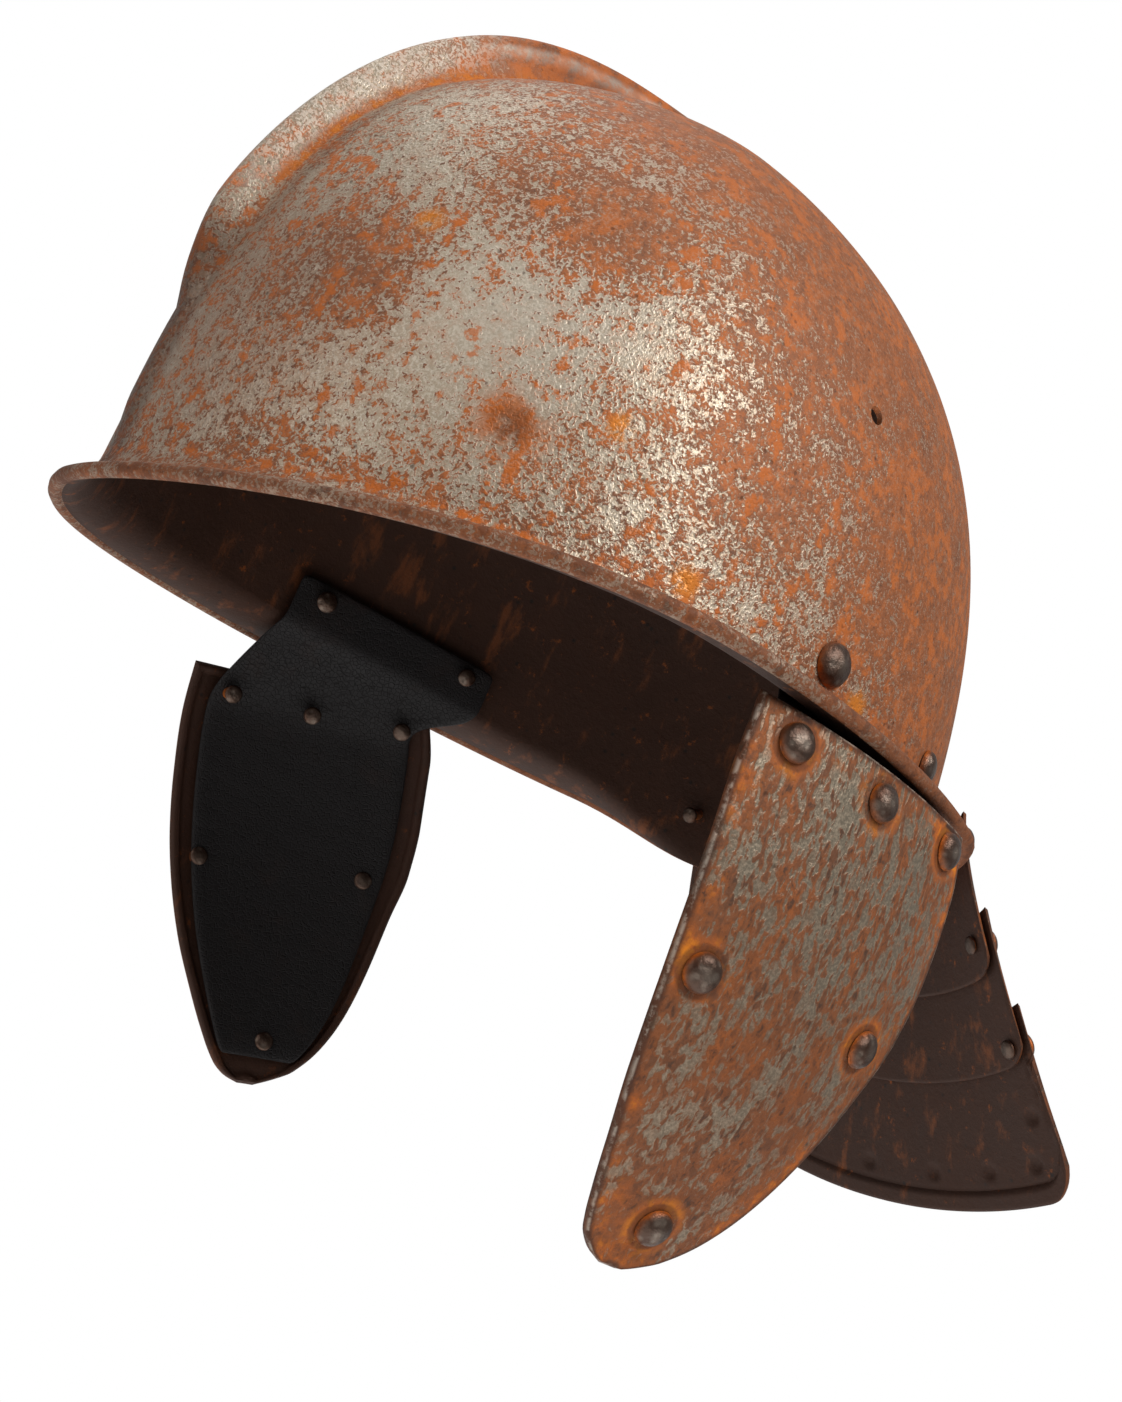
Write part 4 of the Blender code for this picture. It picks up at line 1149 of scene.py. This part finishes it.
class HELMET_OT_cheek_rivets(bpy.types.Operator):
    """Make the rivets of the cheek plates and the ones that hold the hangers in the bowl"""
    bl_idname = "helmet.cheek_rivets"
    bl_label = "Cheek and bowl rivets"

    def execute(self, context):
        s = context.scene.helmet_sizes
        tree = bowl_tree(s)
        for side, word in SIDES:
            shift = 0.0 if side > 0 else RIGHT_CHEEK_FORWARD
            for number, behind in enumerate(BOWL_RIVETS, 1):
                level = crease_beside(s, behind - shift) + BOWL_RIVET_RISE
                place = seat(tree, (side * 0.08, behind - shift, level), (side, 0, 0))
                add_rivet(s, f"bowl_rivet_{word}_{number}", "helmet", place,
                          s.big_rivet if number == 1 else s.middle_rivet,
                          s.plate + s.leather + BOWL_REACH, BOWL_RIVET_SEED + number)
            plate = sheet_tree(hang(s, side, cheek_points(s, *CHEEK_TREE_GRID)))
            for number, point in enumerate(cheek_rivet_points(s, side), 1):
                reach = TOP_CHEEK_REACH if number <= TOP_CHEEK_RIVETS else CHEEK_REACH
                add_rivet(s, f"cheek_rivet_{word}_{number}", "helmet", seat(plate, point, (side, 0, 0)),
                          s.middle_rivet, s.cheek_plate + s.leather + reach, CHEEK_RIVET_SEED + number)
        behind, rise = STUB_RIVET
        place = seat(tree, (0.08, behind, crease_beside(s, behind) + rise), (1, 0, 0))
        add_rivet(s, "bowl_rivet_stub", "helmet", place, s.stub_rivet, s.plate + STUB_REACH, STUB_SEED,
                  rise=0.4, burr=0.0)
        return {"FINISHED"}


class HELMET_OT_tail_pivots(bpy.types.Operator):
    """Make the rivets that the lames turn on"""
    bl_idname = "helmet.tail_pivots"
    bl_label = "Tail pivots"

    def execute(self, context):
        s = context.scene.helmet_sizes
        rows, columns = LAME_TREE_GRID
        places, downs = np.meshgrid(np.linspace(-1, 1, columns), np.linspace(0, 1, rows))
        for index, (word, down, across) in enumerate(PIVOTS):
            lame = sheet_tree(tail_point(s, places, downs, LAME_STEP * index + s.lame_plate))
            grip = TOP_PIVOT_REACH if index == 0 else LAME_STEP + s.lame_plate + PIVOT_REACH
            for side, hand in SIDES:
                point = tail_point(s, np.array(side * across), np.array(down), 0.0)
                add_rivet(s, f"tail_pivot_{word}_{hand}", BODIES[index],
                          seat(lame, point, (side * 0.75, 0.62, 0.2)), s.pivot_rivet, grip,
                          PIVOT_SEED + index)
        return {"FINISHED"}


# Stage

VIEW_RIGHT = Vector((0.50374, 0.78170, 0.36768))
VIEW_UP = Vector((-0.01672, -0.41673, 0.90888))
VIEW_BACK = Vector((0.86369, -0.46399, -0.19685))
CAMERA_PLACE = Vector((0.42232, -0.18887, -0.08943))
VIEW_MIDDLE = Vector((0.0, 0.038, -0.144))
# Focal length and middle of the picture in its own pixels, for a picture 1122 wide and 1402 high
FOCUS = 1823.3
PICTURE_HEIGHT = 1402
SHIFT_RIGHT = -6.1
SHIFT_UP = 6.0
FLOOR_LEVEL = -0.75
FLOOR_HALF_WIDTH = 0.9
FLOOR_GLOW = 0.66
BACKDROP_LIGHT = 0.36
# Lamps: name, way right, up and back from the middle, distance, size and watts
LAMPS = (
    ("key", 0.74, 0.47, 0.45, 1.3, 0.50, 14.0),
    ("fill", -0.8, 0.75, 0.5, 1.4, 0.8, 3.5),
    ("top", 0.1, 1.2, -0.3, 1.3, 0.8, 4.5),
)


def studio_world():
    """A backdrop that looks white, while the light that it sheds on the helmet is dimmer."""
    world = bpy.data.worlds.new("studio")
    world.use_nodes = True
    nodes, links = world.node_tree.nodes, world.node_tree.links
    dim = nodes["Background"]
    dim.inputs["Strength"].default_value = BACKDROP_LIGHT
    white = nodes.new("ShaderNodeBackground")
    for background in (dim, white):
        background.inputs["Color"].default_value = WHITE
    rays = nodes.new("ShaderNodeLightPath")
    mix = nodes.new("ShaderNodeMixShader")
    links.new(rays.outputs["Is Camera Ray"], mix.inputs[0])
    links.new(dim.outputs[0], mix.inputs[1])
    links.new(white.outputs[0], mix.inputs[2])
    links.new(mix.outputs[0], nodes["World Output"].inputs["Surface"])
    return world


class HELMET_OT_stage(bpy.types.Operator):
    """Set the pale floor, the studio light and the camera"""
    bl_idname = "helmet.stage"
    bl_label = "Stage"

    def execute(self, context):
        s = context.scene.helmet_sizes
        shape = bmesh.new()
        bmesh.ops.create_grid(shape, x_segments=8, y_segments=8, size=FLOOR_HALF_WIDTH)
        bmesh.ops.translate(shape, verts=shape.verts, vec=(0, 0, FLOOR_LEVEL))
        mesh = bpy.data.meshes.new("floor")
        shape.to_mesh(mesh)
        shape.free()
        mesh.materials.append(finish("studio_floor", floor_finish))
        floor = bpy.data.objects.new("floor", mesh)
        context.scene.collection.objects.link(floor)
        context.scene.world = studio_world()
        context.scene.view_settings.view_transform = "Standard"
        for name, right, up, back, distance, size, power in LAMPS:
            direction = (VIEW_RIGHT * right + VIEW_UP * up + VIEW_BACK * back).normalized()
            lamp = bpy.data.lights.new(name, "AREA")
            lamp.size = size
            lamp.energy = power
            holder = bpy.data.objects.new(name, lamp)
            stand = Matrix.Translation(VIEW_MIDDLE + direction * distance)
            holder.matrix_world = stand @ facing(direction)
            context.scene.collection.objects.link(holder)
        eye = bpy.data.cameras.new("camera")
        eye.sensor_fit = "VERTICAL"
        eye.sensor_height = 36.0
        eye.lens = FOCUS / PICTURE_HEIGHT * eye.sensor_height
        eye.shift_x = SHIFT_RIGHT / PICTURE_HEIGHT
        eye.shift_y = SHIFT_UP / PICTURE_HEIGHT
        eye.clip_start = 0.01
        camera = bpy.data.objects.new("camera", eye)
        stand = Matrix((VIEW_RIGHT, VIEW_UP, VIEW_BACK)).transposed().to_4x4()
        camera.matrix_world = Matrix.Translation(CAMERA_PLACE - Vector((0, 0, crown(s)))) @ stand
        context.scene.collection.objects.link(camera)
        context.scene.camera = camera
        return {"FINISHED"}


OPERATORS = (HELMET_OT_bowl, HELMET_OT_cheek_plates, HELMET_OT_leather, HELMET_OT_tail,
             HELMET_OT_cheek_rivets, HELMET_OT_tail_pivots, HELMET_OT_stage)


class HELMET_PT_panel(bpy.types.Panel):
    bl_label = "Pot helmet"
    bl_idname = "HELMET_PT_panel"
    bl_space_type = "VIEW_3D"
    bl_region_type = "UI"
    bl_category = "Helmet"

    def draw(self, context):
        layout = self.layout
        for group in (context.scene.helmet_sizes, context.scene.helmet_finishes):
            box = layout.box()
            for name in group.__annotations__:
                box.prop(group, name)
        for operator in OPERATORS:
            layout.operator(operator.bl_idname)


CLASSES = (HelmetSizes, HelmetFinishes, *OPERATORS, HELMET_PT_panel)


def register():
    for item in CLASSES:
        bpy.utils.register_class(item)
    bpy.types.Scene.helmet_sizes = PointerProperty(type=HelmetSizes)
    bpy.types.Scene.helmet_finishes = PointerProperty(type=HelmetFinishes)


def unregister():
    del bpy.types.Scene.helmet_finishes
    del bpy.types.Scene.helmet_sizes
    for item in reversed(CLASSES):
        bpy.utils.unregister_class(item)


def main():
    register()
    bpy.ops.helmet.bowl()
    bpy.ops.helmet.cheek_plates()
    bpy.ops.helmet.leather()
    bpy.ops.helmet.tail()
    bpy.ops.helmet.cheek_rivets()
    bpy.ops.helmet.tail_pivots()
    bpy.ops.helmet.stage()


if __name__ == "__main__":
    main()
